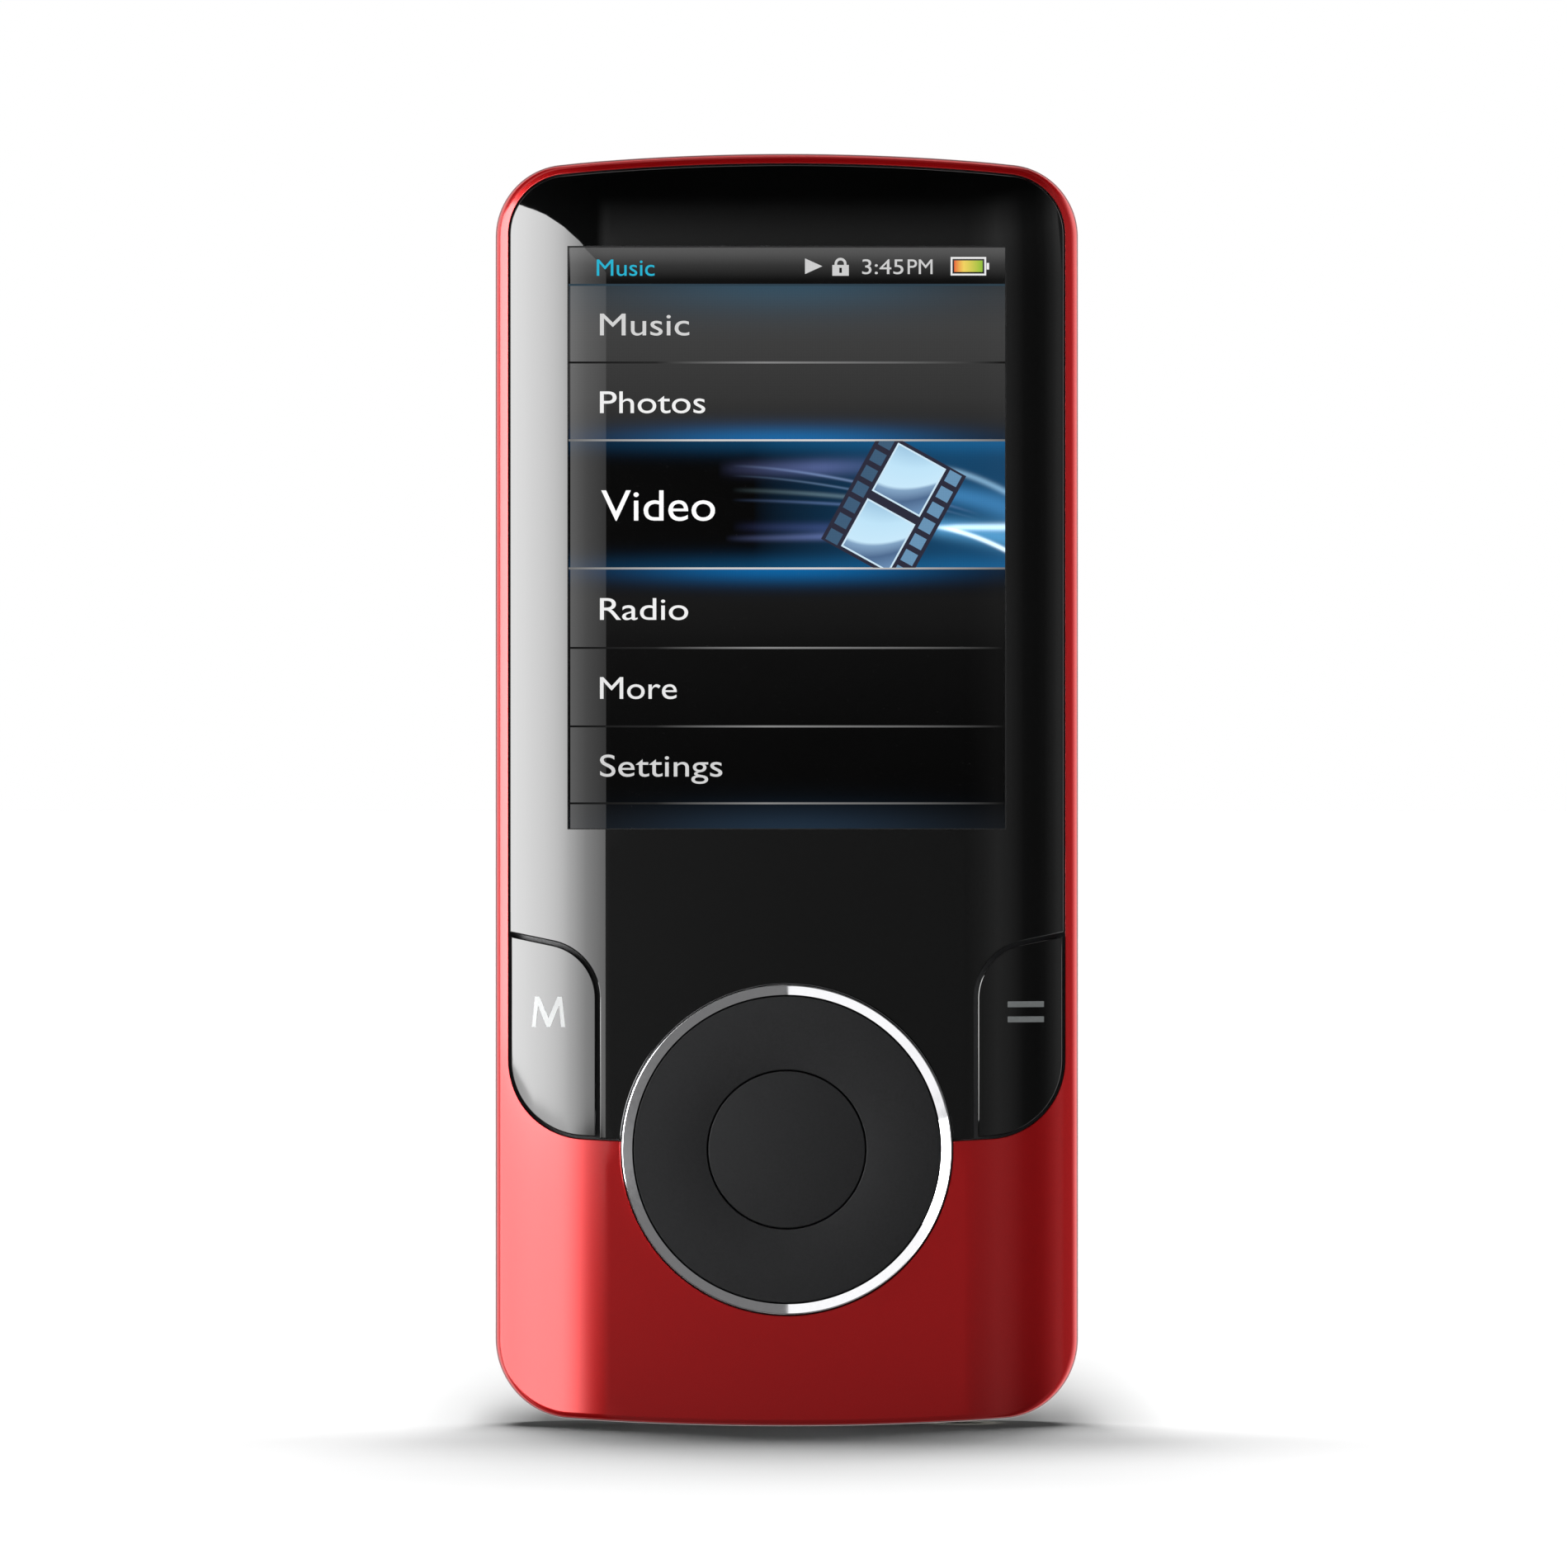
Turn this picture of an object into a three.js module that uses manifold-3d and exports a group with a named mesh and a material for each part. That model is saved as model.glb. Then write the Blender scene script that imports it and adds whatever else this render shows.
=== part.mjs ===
// A pocket digital audio player, standing upright on its bottom end.
// Millimetres. +X is the player's right as seen from the front, +Y goes from the front to the back
// and +Z runs up its length. The origin is under the middle of the bottom end.

import * as THREE from "three";
import { mergeVertices } from "three/addons/utils/BufferGeometryUtils.js";
import Module from "manifold-3d";

const wasm = await Module();
wasm.setup();

// ---------------------------------------------------------------- driving dimensions

const WIDTH = 41.0;
const HEIGHT = 89.3;
const OVERALL_DEPTH = 10.2;
const RING_PROUD = 0.25; // how far the pad's metal ring stands out of the front
const FRONT_Y = -OVERALL_DEPTH / 2 + RING_PROUD;
const REAR_Y = OVERALL_DEPTH / 2;
const PART_Y = 0.4; // the front and rear shells meet here
const SEAM = 0.04; // and leave this between them
const HALF_WIDTH = WIDTH / 2;

// The faces are flat in the middle and roll back towards the sides and the ends.
const SIDE_ROLL = { start: 12.4, radius: 12.0 };
const FRONT_TOP_ROLL = { length: 9.0, drop: 1.5 };
const REAR_END_ROLL = { length: 8.0, drop: 1.0 };

const WALL = 1.1;
const WINDOW_THICKNESS = 1.1;
const RECESS_DEPTH = 1.3; // the window and the corner keys sit in a recess this deep
const LEDGE_BACK = 1.9; // the back of the front wall, below the front face
const REAR_WALL = 1.15;

const BODY = {
  halfWidth: HALF_WIDTH, bottom: 0, top: HEIGHT,
  bottomBow: 227, topBow: 165, bottomCorner: 5.5, topCorner: 5.0,
};
const RIM = 0.93; // red border beside the window
const TOP_RIM = 0.7;
const PANEL = {
  halfWidth: HALF_WIDTH - RIM, bottom: 19.7, top: HEIGHT - TOP_RIM,
  bottomBow: 227, topBow: 164.3, bottomCorner: 5.5, topCorner: 4.2,
};

const PAD = { x: 0, z: 19.4, ringRadius: 11.55, padRadius: 10.75, buttonRadius: 5.5 };
const KEY = { curveX: 17.2, curveZ: 30.0, curveRadius: 3.94, outerTopZ: 34.5 };
const KEY_STEM = { x: 15.6, z: 28.0 };
const KEY_GAP = 0.27;
const FINE_GAP = 0.1;

const SCREEN = { halfWidth: 15.35, bottom: 41.9, top: 82.75 };
const LCD_FRONT_Y = -1.85;
const BOARD = { front: 0.2, back: 1.0, halfWidth: 17.4, bottom: 1.9, top: 86.2 };
const DOME_HEIGHT = 0.35;
const DOME_TOP_Y = BOARD.front - DOME_HEIGHT;
const PRESS_TRAVEL = 0.3;
const PLUNGER_END_Y = DOME_TOP_Y - PRESS_TRAVEL - 0.1;

const BOSS = { x: 16.2, z: 16.4, radius: 1.7, screwRadius: 0.8 };
const USB = { halfWidth: 3.85, halfDepth: 1.95, y: 0.55, bottom: 0.4, top: 7.4 };
const JACK = {
  x: 12.4, y: 0.4, noseRadius: 2.5, boreRadius: 1.8, halfWidth: 3.0, bottom: 2.4, top: 11.9,
};
const SLIDER = { x: 8.5, y: 2.0, travel: 3.0 };

// ---------------------------------------------------------------- materials

const surface = (color, roughness, metalness = 0) =>
  new THREE.MeshStandardMaterial({ color, roughness, metalness });

const RED = surface(0xa31c22, 0.25, 0.3);
const GLOSS_BLACK = surface(0x0c0d0d, 0.06);
const MATTE_BLACK = surface(0x1f2022, 0.6);
const CHROME = surface(0xe6e6e8, 0.08, 1);
const STEEL = surface(0xa9adb0, 0.35, 1);
const DARK_STEEL = surface(0x303236, 0.4, 1);
const NICKEL = surface(0xc8c6c0, 0.3, 1);
const SCREEN_GLASS = surface(0x0a1420, 0.1);
const WHITE_PLASTIC = surface(0xe9e9e4, 0.5);
const BLACK_PLASTIC = surface(0x17181a, 0.5);
const POLYIMIDE = surface(0xb5651d, 0.4);
const SOLDER_MASK = surface(0x0f5a34, 0.35);
const CHIP_EPOXY = surface(0x141516, 0.55);
const FOAM = surface(0x202020, 0.95);
const ADHESIVE = surface(0x1a1a1a, 0.8);
const SILICONE = surface(0x8b8f94, 0.7);
const FOIL = surface(0xc4c7ca, 0.35, 0.8);
const RED_WIRE = surface(0xc01818, 0.5);
const BLACK_WIRE = surface(0x101010, 0.5);

// ---------------------------------------------------------------- solids

// A closed BufferGeometry as a manifold-3d solid.
function toSolid(geometry) {
  for (const name of ["normal", "uv"]) geometry.deleteAttribute(name);
  const merged = mergeVertices(geometry, 1e-4);
  return new wasm.Manifold(new wasm.Mesh({
    numProp: 3,
    vertProperties: new Float32Array(merged.attributes.position.array),
    triVerts: new Uint32Array(merged.index.array),
  }));
}

function toGeometry(solid) {
  const { vertProperties, triVerts } = solid.getMesh();
  const geometry = new THREE.BufferGeometry();
  geometry.setAttribute("position", new THREE.BufferAttribute(new Float32Array(vertProperties), 3));
  geometry.setIndex(new THREE.BufferAttribute(new Uint32Array(triVerts), 1));
  geometry.computeVertexNormals();
  return geometry;
}

const join = (first, ...rest) => rest.reduce((whole, piece) => whole.add(piece), first);
const cut = (first, ...rest) => rest.reduce((whole, piece) => whole.subtract(piece), first);

function box([x0, x1], [y0, y1], [z0, z1]) {
  const geometry = new THREE.BoxGeometry(x1 - x0, y1 - y0, z1 - z0);
  return toSolid(geometry.translate((x0 + x1) / 2, (y0 + y1) / 2, (z0 + z1) / 2));
}

// A round bar along Y, from y0 to y1.
function barY(radius, [y0, y1], x, z, sides = 32) {
  const geometry = new THREE.CylinderGeometry(radius, radius, y1 - y0, sides);
  return toSolid(geometry.translate(x, (y0 + y1) / 2, z));
}

// A round bar along Z, from z0 to z1.
function barZ(radius, [z0, z1], x, y, sides = 32) {
  const geometry = new THREE.CylinderGeometry(radius, radius, z1 - z0, sides).rotateX(Math.PI / 2);
  return toSolid(geometry.translate(x, y, (z0 + z1) / 2));
}

// A shape drawn in X and Z, made solid from y0 to y1.
function prism(shape, [y0, y1], curveSegments = 4) {
  const settings = { depth: y1 - y0, bevelEnabled: false, curveSegments };
  const geometry = new THREE.ExtrudeGeometry(shape, settings);
  return toSolid(geometry.rotateX(Math.PI / 2).translate(0, y1, 0));
}

// A shape drawn in Z and Y, made solid across X from -halfWidth to halfWidth.
function sideProfile(shape, halfWidth) {
  const geometry = new THREE.ExtrudeGeometry(shape, { depth: 2 * halfWidth, bevelEnabled: false });
  return toSolid(geometry.rotateY(-Math.PI / 2).translate(halfWidth, 0, 0));
}

// A closed profile of [radius, y] points turned about an axis along Y.
function turned(profile, x = PAD.x, z = PAD.z, sides = 48) {
  const points = [...profile, profile[0]].map(([r, y]) => new THREE.Vector2(r, y));
  return toSolid(new THREE.LatheGeometry(points, sides).translate(x, 0, z));
}

// A block whose front and back faces are height fields over a grid in X and Z.
function fieldBlock(columns, rows, front, back) {
  const positions = [];
  for (const face of [front, back])
    for (const z of rows) for (const x of columns) positions.push(x, face(x, z), z);
  const across = columns.length;
  const layer = across * rows.length;
  const triangles = [];
  const quad = (a, b, c, d) => triangles.push(a, b, c, a, c, d);
  for (let j = 0; j + 1 < rows.length; j++)
    for (let i = 0; i + 1 < across; i++) {
      const a = j * across + i;
      quad(a, a + 1, a + across + 1, a + across);
      quad(layer + a, layer + a + across, layer + a + across + 1, layer + a + 1);
    }
  for (let i = 0; i + 1 < across; i++) {
    const a = layer - across + i;
    quad(i, layer + i, layer + i + 1, i + 1);
    quad(a, a + 1, layer + a + 1, layer + a);
  }
  for (let j = 0; j + 1 < rows.length; j++) {
    const a = j * across;
    const b = a + across - 1;
    quad(a, a + across, layer + a + across, layer + a);
    quad(b, layer + b, layer + b + across, b + across);
  }
  const geometry = new THREE.BufferGeometry();
  geometry.setAttribute("position", new THREE.Float32BufferAttribute(positions, 3));
  geometry.setIndex(triangles);
  return toSolid(geometry);
}

// ---------------------------------------------------------------- the player's faces and outlines

function sideDrop(x) {
  const past = Math.max(0, Math.abs(x) - SIDE_ROLL.start);
  return SIDE_ROLL.radius - Math.sqrt(SIDE_ROLL.radius ** 2 - past ** 2);
}

const endDrop = (past, roll) => roll.drop * (Math.max(0, past) / roll.length) ** 2;

// Depth of the front face and of the rear face at a point.
const frontFace = (x, z) =>
  FRONT_Y + sideDrop(x) + endDrop(z - HEIGHT + FRONT_TOP_ROLL.length, FRONT_TOP_ROLL);
const rearFace = (x, z) =>
  REAR_Y - sideDrop(x) - endDrop(z - HEIGHT + REAR_END_ROLL.length, REAR_END_ROLL)
  - endDrop(REAR_END_ROLL.length - z, REAR_END_ROLL);
const below = (depth) => (x, z) => frontFace(x, z) + depth; // behind the front face
const above = (height) => (x, z) => rearFace(x, z) + height; // behind the rear face
const flatAt = (y) => () => y;

// Grid lines that follow the rolls.
function gridColumns(steps = 5) {
  const reach = Math.asin((HALF_WIDTH + 0.2 - SIDE_ROLL.start) / SIDE_ROLL.radius);
  const half = [];
  for (let i = 0; i <= steps; i++)
    half.push(SIDE_ROLL.start + SIDE_ROLL.radius * Math.sin((reach * i) / steps));
  return [...half.map((x) => -x).reverse(), ...half];
}

function rollRows(from, to, steps) {
  return Array.from({ length: steps + 1 }, (_, i) => from + ((to - from) * i) / steps);
}

const TOP_ROWS = rollRows(HEIGHT - FRONT_TOP_ROLL.length, HEIGHT + 0.5, 4);
const FRONT_ROWS = [-1, ...TOP_ROWS];
const BOTH_ROWS = [-1, ...rollRows(0, REAR_END_ROLL.length, 3), ...TOP_ROWS];

const frontBlock = (front, back) => fieldBlock(gridColumns(), FRONT_ROWS, front, back);
const rearBlock = (front, back) => fieldBlock(gridColumns(), BOTH_ROWS, front, back);

// Straight sides, ends bowed outwards and round corners; every join is tangent.
function bowedShape({ halfWidth, bottom, top, bottomBow, topBow, bottomCorner, topCorner }) {
  const corner = (bow, radius) => {
    const x = halfWidth - radius;
    const reach = Math.sqrt((bow - radius) ** 2 - x ** 2);
    return { x, angle: Math.asin(x / (bow - radius)), reach };
  };
  const low = corner(bottomBow, bottomCorner);
  const high = corner(topBow, topCorner);
  const lowZ = bottom + bottomBow - low.reach;
  const highZ = top - topBow + high.reach;
  const quarter = Math.PI / 2;
  const shape = new THREE.Shape();
  shape.absarc(0, bottom + bottomBow, bottomBow, -quarter - low.angle, -quarter + low.angle);
  shape.absarc(low.x, lowZ, bottomCorner, -quarter + low.angle, 0);
  shape.absarc(high.x, highZ, topCorner, 0, quarter - high.angle);
  shape.absarc(0, top - topBow, topBow, quarter - high.angle, quarter + high.angle);
  shape.absarc(-high.x, highZ, topCorner, quarter + high.angle, Math.PI);
  shape.absarc(-low.x, lowZ, bottomCorner, Math.PI, 2 * Math.PI - quarter - low.angle);
  return shape;
}

// The same outline drawn in by a distance all round.
function inset(outline, distance) {
  return {
    halfWidth: outline.halfWidth - distance,
    bottom: outline.bottom + distance,
    top: outline.top - distance,
    bottomBow: outline.bottomBow - distance,
    topBow: outline.topBow - distance,
    bottomCorner: outline.bottomCorner - distance,
    topCorner: outline.topCorner - distance,
  };
}

const THROUGH = [-OVERALL_DEPTH, OVERALL_DEPTH];
const outlinePrism = (outline, depths = THROUGH) => prism(bowedShape(outline), depths);

// The region of the left or right corner key, grown by a distance. Its inner side is straight, its
// inner top corner is round, and its top slopes up to the panel's edge; it runs off the panel.
function keyRegion(side, grow = 0) {
  const { curveX, curveZ, curveRadius, outerTopZ } = KEY;
  const [across, up] = [PANEL.halfWidth - curveX, outerTopZ - curveZ];
  const tilt = Math.acos(curveRadius / Math.hypot(across, up)) - Math.atan2(across, up);
  const radius = curveRadius + grow;
  const innerX = -curveX + radius;
  const far = HALF_WIDTH + 2;
  const shape = new THREE.Shape();
  shape.moveTo(-far, 0);
  shape.lineTo(innerX, 0);
  shape.lineTo(innerX, curveZ);
  shape.absarc(-curveX, curveZ, radius, 0, Math.PI / 2 - tilt);
  const run = far - curveX + radius * Math.sin(tilt);
  shape.lineTo(-far, curveZ + radius * Math.cos(tilt) + run * Math.tan(tilt));
  const left = prism(shape, THROUGH);
  return side < 0 ? left : left.mirror([1, 0, 0]);
}

function rectangle([x0, x1], [z0, z1]) {
  const shape = new THREE.Shape();
  shape.moveTo(x0, z0);
  shape.lineTo(x1, z0);
  shape.lineTo(x1, z1);
  shape.lineTo(x0, z1);
  return shape;
}

// A rectangular frame, drawn in X and Z.
function frameShape(outerHalf, [outerLow, outerHigh], innerHalf, [innerLow, innerHigh]) {
  const shape = rectangle([-outerHalf, outerHalf], [outerLow, outerHigh]);
  shape.holes.push(rectangle([-innerHalf, innerHalf], [innerLow, innerHigh]));
  return shape;
}

// ---------------------------------------------------------------- shells

const padHole = (radius, depths = THROUGH) => barY(radius, depths, PAD.x, PAD.z, 48);
const usbHole = () => box([-USB.halfWidth - 0.2, USB.halfWidth + 0.2],
  [USB.y - USB.halfDepth - 0.2, USB.y + USB.halfDepth + 0.2], [-1, USB.top + 1]);
const jackHole = () => barZ(JACK.noseRadius + 0.15, [-1, 3], JACK.x, JACK.y, 24);
const sliderSlot = () =>
  box([SLIDER.x - 4.2, SLIDER.x + 4.2], [SLIDER.y - 0.9, SLIDER.y + 0.9], [86, 91]);
const screwHole = (x, z) => barY(BOSS.screwRadius + 0.1, THROUGH, x, z, 16);

function bodySolid() {
  return rearBlock(frontFace, rearFace).intersect(outlinePrism(BODY));
}

function frontHousing() {
  const outer = bodySolid()
    .intersect(outlinePrism(inset(BODY, -1), [-OVERALL_DEPTH, PART_Y - SEAM / 2]));
  const cavity = frontBlock(below(LEDGE_BACK), flatAt(PART_Y + 1))
    .intersect(outlinePrism(inset(BODY, WALL)));
  const recess = frontBlock(below(-1), below(RECESS_DEPTH)).intersect(outlinePrism(PANEL));
  const aperture = box([-SCREEN.halfWidth - 0.5, SCREEN.halfWidth + 0.5], THROUGH,
    [SCREEN.bottom - 0.5, SCREEN.top + 0.5]);
  const keyWells = [-1, 1].map((side) =>
    keyRegion(side, -0.6).intersect(outlinePrism(inset(PANEL, 0.9))));
  const screwPosts = [-BOSS.x, BOSS.x].map((x) => barY(BOSS.radius, [-3.4, 2.3], x, BOSS.z, 20)
    .intersect(frontBlock(below(0.5), flatAt(2.3))));
  const boardPosts = BOARD_SCREWS.map(([x, z]) => barY(1.5, [-3.2, BOARD.front - 0.02], x, z, 20));
  const shell = join(cut(outer, cavity), ...screwPosts, ...boardPosts);
  const pilots = [
    ...[-BOSS.x, BOSS.x].map((x) => barY(BOSS.screwRadius - 0.1, [-1.4, 3], x, BOSS.z, 16)),
    ...BOARD_SCREWS.map(([x, z]) => barY(0.5, [-2.4, 3], x, z, 12)),
  ];
  return cut(shell, recess, aperture, ...keyWells, padHole(PAD.ringRadius + FINE_GAP),
    usbHole(), jackHole(), ...pilots);
}

function rearCover() {
  const outer = bodySolid()
    .intersect(outlinePrism(inset(BODY, -1), [PART_Y + SEAM / 2, OVERALL_DEPTH]));
  const cavity = rearBlock(flatAt(PART_Y - 1), above(-REAR_WALL))
    .intersect(outlinePrism(inset(BODY, WALL)));
  const tongue = cut(
    join(outlinePrism(inset(BODY, WALL + 0.1), [PART_Y - 0.8, PART_Y + 0.1]),
      outlinePrism(inset(BODY, WALL - 0.2), [PART_Y + SEAM / 2, PART_Y + 0.6])),
    outlinePrism(inset(BODY, WALL + 0.6), [PART_Y - 1, PART_Y + 1]));
  const collars = [-BOSS.x, BOSS.x].map((x) => barY(BOSS.radius, [2.4, REAR_Y], x, BOSS.z, 20)
    .intersect(rearBlock(flatAt(0), above(-0.4))));
  const shell = join(cut(outer, cavity), tongue, ...collars);
  const screwSeats = [-BOSS.x, BOSS.x].map((x) =>
    join(screwHole(x, BOSS.z), barY(1.5, [3.2, REAR_Y + 1], x, BOSS.z, 24)));
  return cut(shell, usbHole(), jackHole(), sliderSlot(), ...screwSeats);
}

// ---------------------------------------------------------------- window and display

function windowSolid() {
  const outline = outlinePrism(inset(PANEL, FINE_GAP));
  const keys = [-1, 1].map((side) => keyRegion(side, KEY_GAP / 2));
  return cut(frontBlock(frontFace, below(WINDOW_THICKNESS)).intersect(outline), ...keys,
    padHole(PAD.ringRadius + FINE_GAP));
}

// A frame round the screen, reaching in to a margin from the picture's edge.
function screenFrame(outerHalf, outerHeights, margin) {
  return prism(frameShape(outerHalf, outerHeights, SCREEN.halfWidth + margin,
    [SCREEN.bottom - margin, SCREEN.top + margin]), THROUGH);
}

const windowAdhesive = () =>
  frontBlock(below(WINDOW_THICKNESS + 0.04), below(RECESS_DEPTH - 0.04))
    .intersect(screenFrame(17.3, [40.2, 84.6], 0.8));

const LCD = { halfWidth: 16.6, bottom: 38.6, top: 84.0 };

const lcdGasket = () =>
  frontBlock(below(LEDGE_BACK + 0.04), flatAt(LCD_FRONT_Y - 0.03))
    .intersect(screenFrame(16.5, [40.4, 83.9], 0.35));

// A plate the size of the display, between two depths behind the display's front.
const lcdPlate = (front, back) => box([-LCD.halfWidth, LCD.halfWidth],
  [LCD_FRONT_Y + front, LCD_FRONT_Y + back], [LCD.bottom, LCD.top]);

function lcdTray() {
  const depths = [LCD_FRONT_Y + 0.2, LCD_FRONT_Y + 1.95];
  const outer = box([-LCD.halfWidth - 0.4, LCD.halfWidth + 0.4], depths,
    [LCD.bottom - 0.4, LCD.top + 0.3]);
  const well = box([-LCD.halfWidth - 0.15, LCD.halfWidth + 0.15], [-5, depths[1] - 0.2],
    [LCD.bottom - 0.15, LCD.top + 0.1]);
  const flexGap = box([-6.5, 6.5], [-5, depths[1] - 0.2], [LCD.bottom - 2, LCD.bottom + 1]);
  return cut(outer, well, flexGap);
}

const CONNECTOR = { halfWidth: 6.6, depths: [-1.0, BOARD.front - 0.02], bottom: 32.9, top: 35.4 };

// The display's flexible cable: an S in depth, from the glass's lower edge into its connector.
function lcdFlex() {
  const thick = 0.14;
  const [startY, endY] = [LCD_FRONT_Y + 0.5, -0.45];
  const line = new THREE.CubicBezierCurve(
    new THREE.Vector2(LCD.bottom - 0.05, startY), new THREE.Vector2(LCD.bottom - 1.6, startY),
    new THREE.Vector2(CONNECTOR.top + 1.8, endY), new THREE.Vector2(CONNECTOR.top + 0.05, endY));
  const steps = 10;
  const edge = (offset) => line.getPoints(steps).map((point, i) => {
    const along = line.getTangent(i / steps);
    return new THREE.Vector2(point.x - along.y * offset, point.y + along.x * offset);
  });
  return sideProfile(new THREE.Shape([...edge(thick / 2), ...edge(-thick / 2).reverse()]), 6);
}

function lcdConnector() {
  const { halfWidth, depths, bottom, top } = CONNECTOR;
  const body = box([-halfWidth, halfWidth], depths, [bottom, top]);
  const mouth = box([-6.2, 6.2], [-0.6, -0.3], [top - 1.2, top + 1]);
  return cut(body, mouth);
}

// ---------------------------------------------------------------- corner keys

// A cap in the recess, a neck through the front wall, a lip behind it and a stem to its dome.
function cornerKey(side) {
  const slice = (grow, inward, [front, back]) => frontBlock(below(front), below(back))
    .intersect(keyRegion(side, grow)).intersect(outlinePrism(inset(PANEL, inward)));
  const cap = slice(-KEY_GAP / 2, 0.2, [0, 0.9]);
  const neck = slice(-0.75, 1.05, [0.8, 2.45]);
  const lip = slice(0.35, 1.3, [2.05, 2.45]);
  const middle = side * KEY_STEM.x;
  const stem = box([middle - 1.3, middle + 1.3], [-2.9, PLUNGER_END_Y],
    [KEY_STEM.z - 1.3, KEY_STEM.z + 1.3]);
  return join(cap, neck, lip, stem);
}

// ---------------------------------------------------------------- the control pad

const padTrimRing = () => turned([
  [11.36, -5.1], [11.43, -5.1], [PAD.ringRadius, -4.98], [PAD.ringRadius, -2.9], [12.4, -2.9],
  [12.4, -2.5], [10.88, -2.5], [10.88, -4.62],
]);

const DIRECTIONS = { right: [1, 0], up: [0, 1], left: [-1, 0], down: [0, -1] };
const NUB_RADIUS = 8.6; // from the pad's axis to the nub over each switch dome

function controlPad() {
  const ring = turned([
    [5.6, -4.62], [PAD.padRadius, -4.62], [PAD.padRadius, -2.05], [11.55, -2.05], [11.55, -1.65],
    [6.65, -1.65], [6.65, -3.15], [5.6, -3.15],
  ]);
  const nubs = Object.values(DIRECTIONS).map(([x, z]) =>
    barY(0.9, [-2, PLUNGER_END_Y], PAD.x + NUB_RADIUS * x, PAD.z + NUB_RADIUS * z, 12));
  return join(ring, ...nubs);
}

// A silicone ring that the pad rocks on: a foot near the board and a flange under the pad.
const padCushion = () => turned([
  [5.2, -1.45], [7.4, -1.45], [7.4, -1.05], [6.4, -1.05], [6.4, 0.02], [5.2, 0.02],
]);

function centreButton() {
  const cap = turned([
    [0, -4.6], [PAD.buttonRadius, -4.6], [PAD.buttonRadius, -2.9], [6.3, -2.9], [6.3, -2.45],
    [0, -2.45],
  ]);
  return cap.add(barY(1.4, [-2.6, PLUNGER_END_Y], PAD.x, PAD.z, 16));
}

// ---------------------------------------------------------------- circuit board and its parts

const BOARD_SCREWS = [[-9, 34.6], [9, 34.6], [-12.5, 5.2]];

function mainBoard() {
  const { halfWidth, bottom, top, front, back } = BOARD;
  const outline = {
    halfWidth, bottom, top, bottomBow: 220, topBow: 160, bottomCorner: 4, topCorner: 3.6,
  };
  const plate = outlinePrism(outline, [front, back]);
  const notches = [
    box([-USB.halfWidth - 0.4, USB.halfWidth + 0.4], THROUGH, [-1, USB.top + 0.4]),
    box([JACK.x - JACK.halfWidth - 0.3, JACK.x + JACK.halfWidth + 0.3], THROUGH,
      [-1, JACK.top + 0.3]),
    ...[-BOSS.x, BOSS.x].map((x) => barY(BOSS.radius + 0.4, THROUGH, x, BOSS.z, 20)),
    ...BOARD_SCREWS.map(([x, z]) => barY(0.75, THROUGH, x, z, 16)),
  ];
  return cut(plate, ...notches);
}

// A low metal dome on the front of the board.
function dome(x, z, radius) {
  const foot = BOARD.front - 0.01;
  const rim = 0.08;
  const arch = [0, 0.35, 0.7, 1].map((share) =>
    [radius * share, foot - rim - (DOME_HEIGHT - 0.01 - rim) * Math.cos((share * Math.PI) / 2)]);
  return turned([...arch, [radius, foot], [0, foot]], x, z, 16);
}

const DOMES = {
  dome_switch_centre: [PAD.x, PAD.z, 2.3],
  dome_switch_left_key: [-KEY_STEM.x, KEY_STEM.z, 1.7],
  dome_switch_right_key: [KEY_STEM.x, KEY_STEM.z, 1.7],
};
for (const [way, [x, z]] of Object.entries(DIRECTIONS))
  DOMES[`dome_switch_${way}`] = [PAD.x + NUB_RADIUS * x, PAD.z + NUB_RADIUS * z, 1.9];

const onBack = (height) => [BOARD.back + 0.02, BOARD.back + height];

const battery = () => {
  const shape = new THREE.Shape();
  const [halfWidth, low, high, corner] = [13.2, 40.5, 81.5, 1.2];
  shape.absarc(halfWidth - corner, low + corner, corner, -Math.PI / 2, 0);
  shape.absarc(halfWidth - corner, high - corner, corner, 0, Math.PI / 2);
  shape.absarc(-halfWidth + corner, high - corner, corner, Math.PI / 2, Math.PI);
  shape.absarc(-halfWidth + corner, low + corner, corner, Math.PI, Math.PI * 1.5);
  return prism(shape, [1.25, 3.75], 2);
};

const batteryTape = () => box([-9, 9], onBack(0.2), [45, 77]);

// A lead from the battery's lower edge, bowed out and down to its pad on the board.
function batteryLead(x) {
  const route = new THREE.CatmullRomCurve3([
    [0, 2.5, 40.45], [0, 2.55, 39.8], [-0.2, 2.3, 39.0],
    [-0.2, 1.75, 38.3], [0, 1.42, 37.5], [0, 1.4, 36.8],
  ].map(([aside, y, z]) => new THREE.Vector3(x + aside, y, z)));
  const section = new THREE.Shape().absarc(0, 0, 0.35, 0, Math.PI * 2);
  return toSolid(new THREE.ExtrudeGeometry(section, {
    steps: 10, extrudePath: route, curveSegments: 4, bevelEnabled: false,
  }));
}

// ---------------------------------------------------------------- ports and switch

function usbShell() {
  const depths = [USB.y - USB.halfDepth, USB.y + USB.halfDepth];
  const outer = box([-USB.halfWidth, USB.halfWidth], depths, [USB.bottom, USB.top]);
  const inner = box([-USB.halfWidth + 0.3, USB.halfWidth - 0.3], [depths[0] + 0.3, depths[1] - 0.3],
    [USB.bottom - 1, USB.top - 0.3]);
  return cut(outer, inner);
}

function usbTongue() {
  const base = box([-3.4, 3.4], [USB.y - 1.5, USB.y + 1.5], [USB.top - 1.6, USB.top - 0.35]);
  return base.add(box([-2.4, 2.4], [USB.y - 0.2, USB.y + 0.8], [USB.bottom + 1.2, USB.top - 1]));
}

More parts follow.
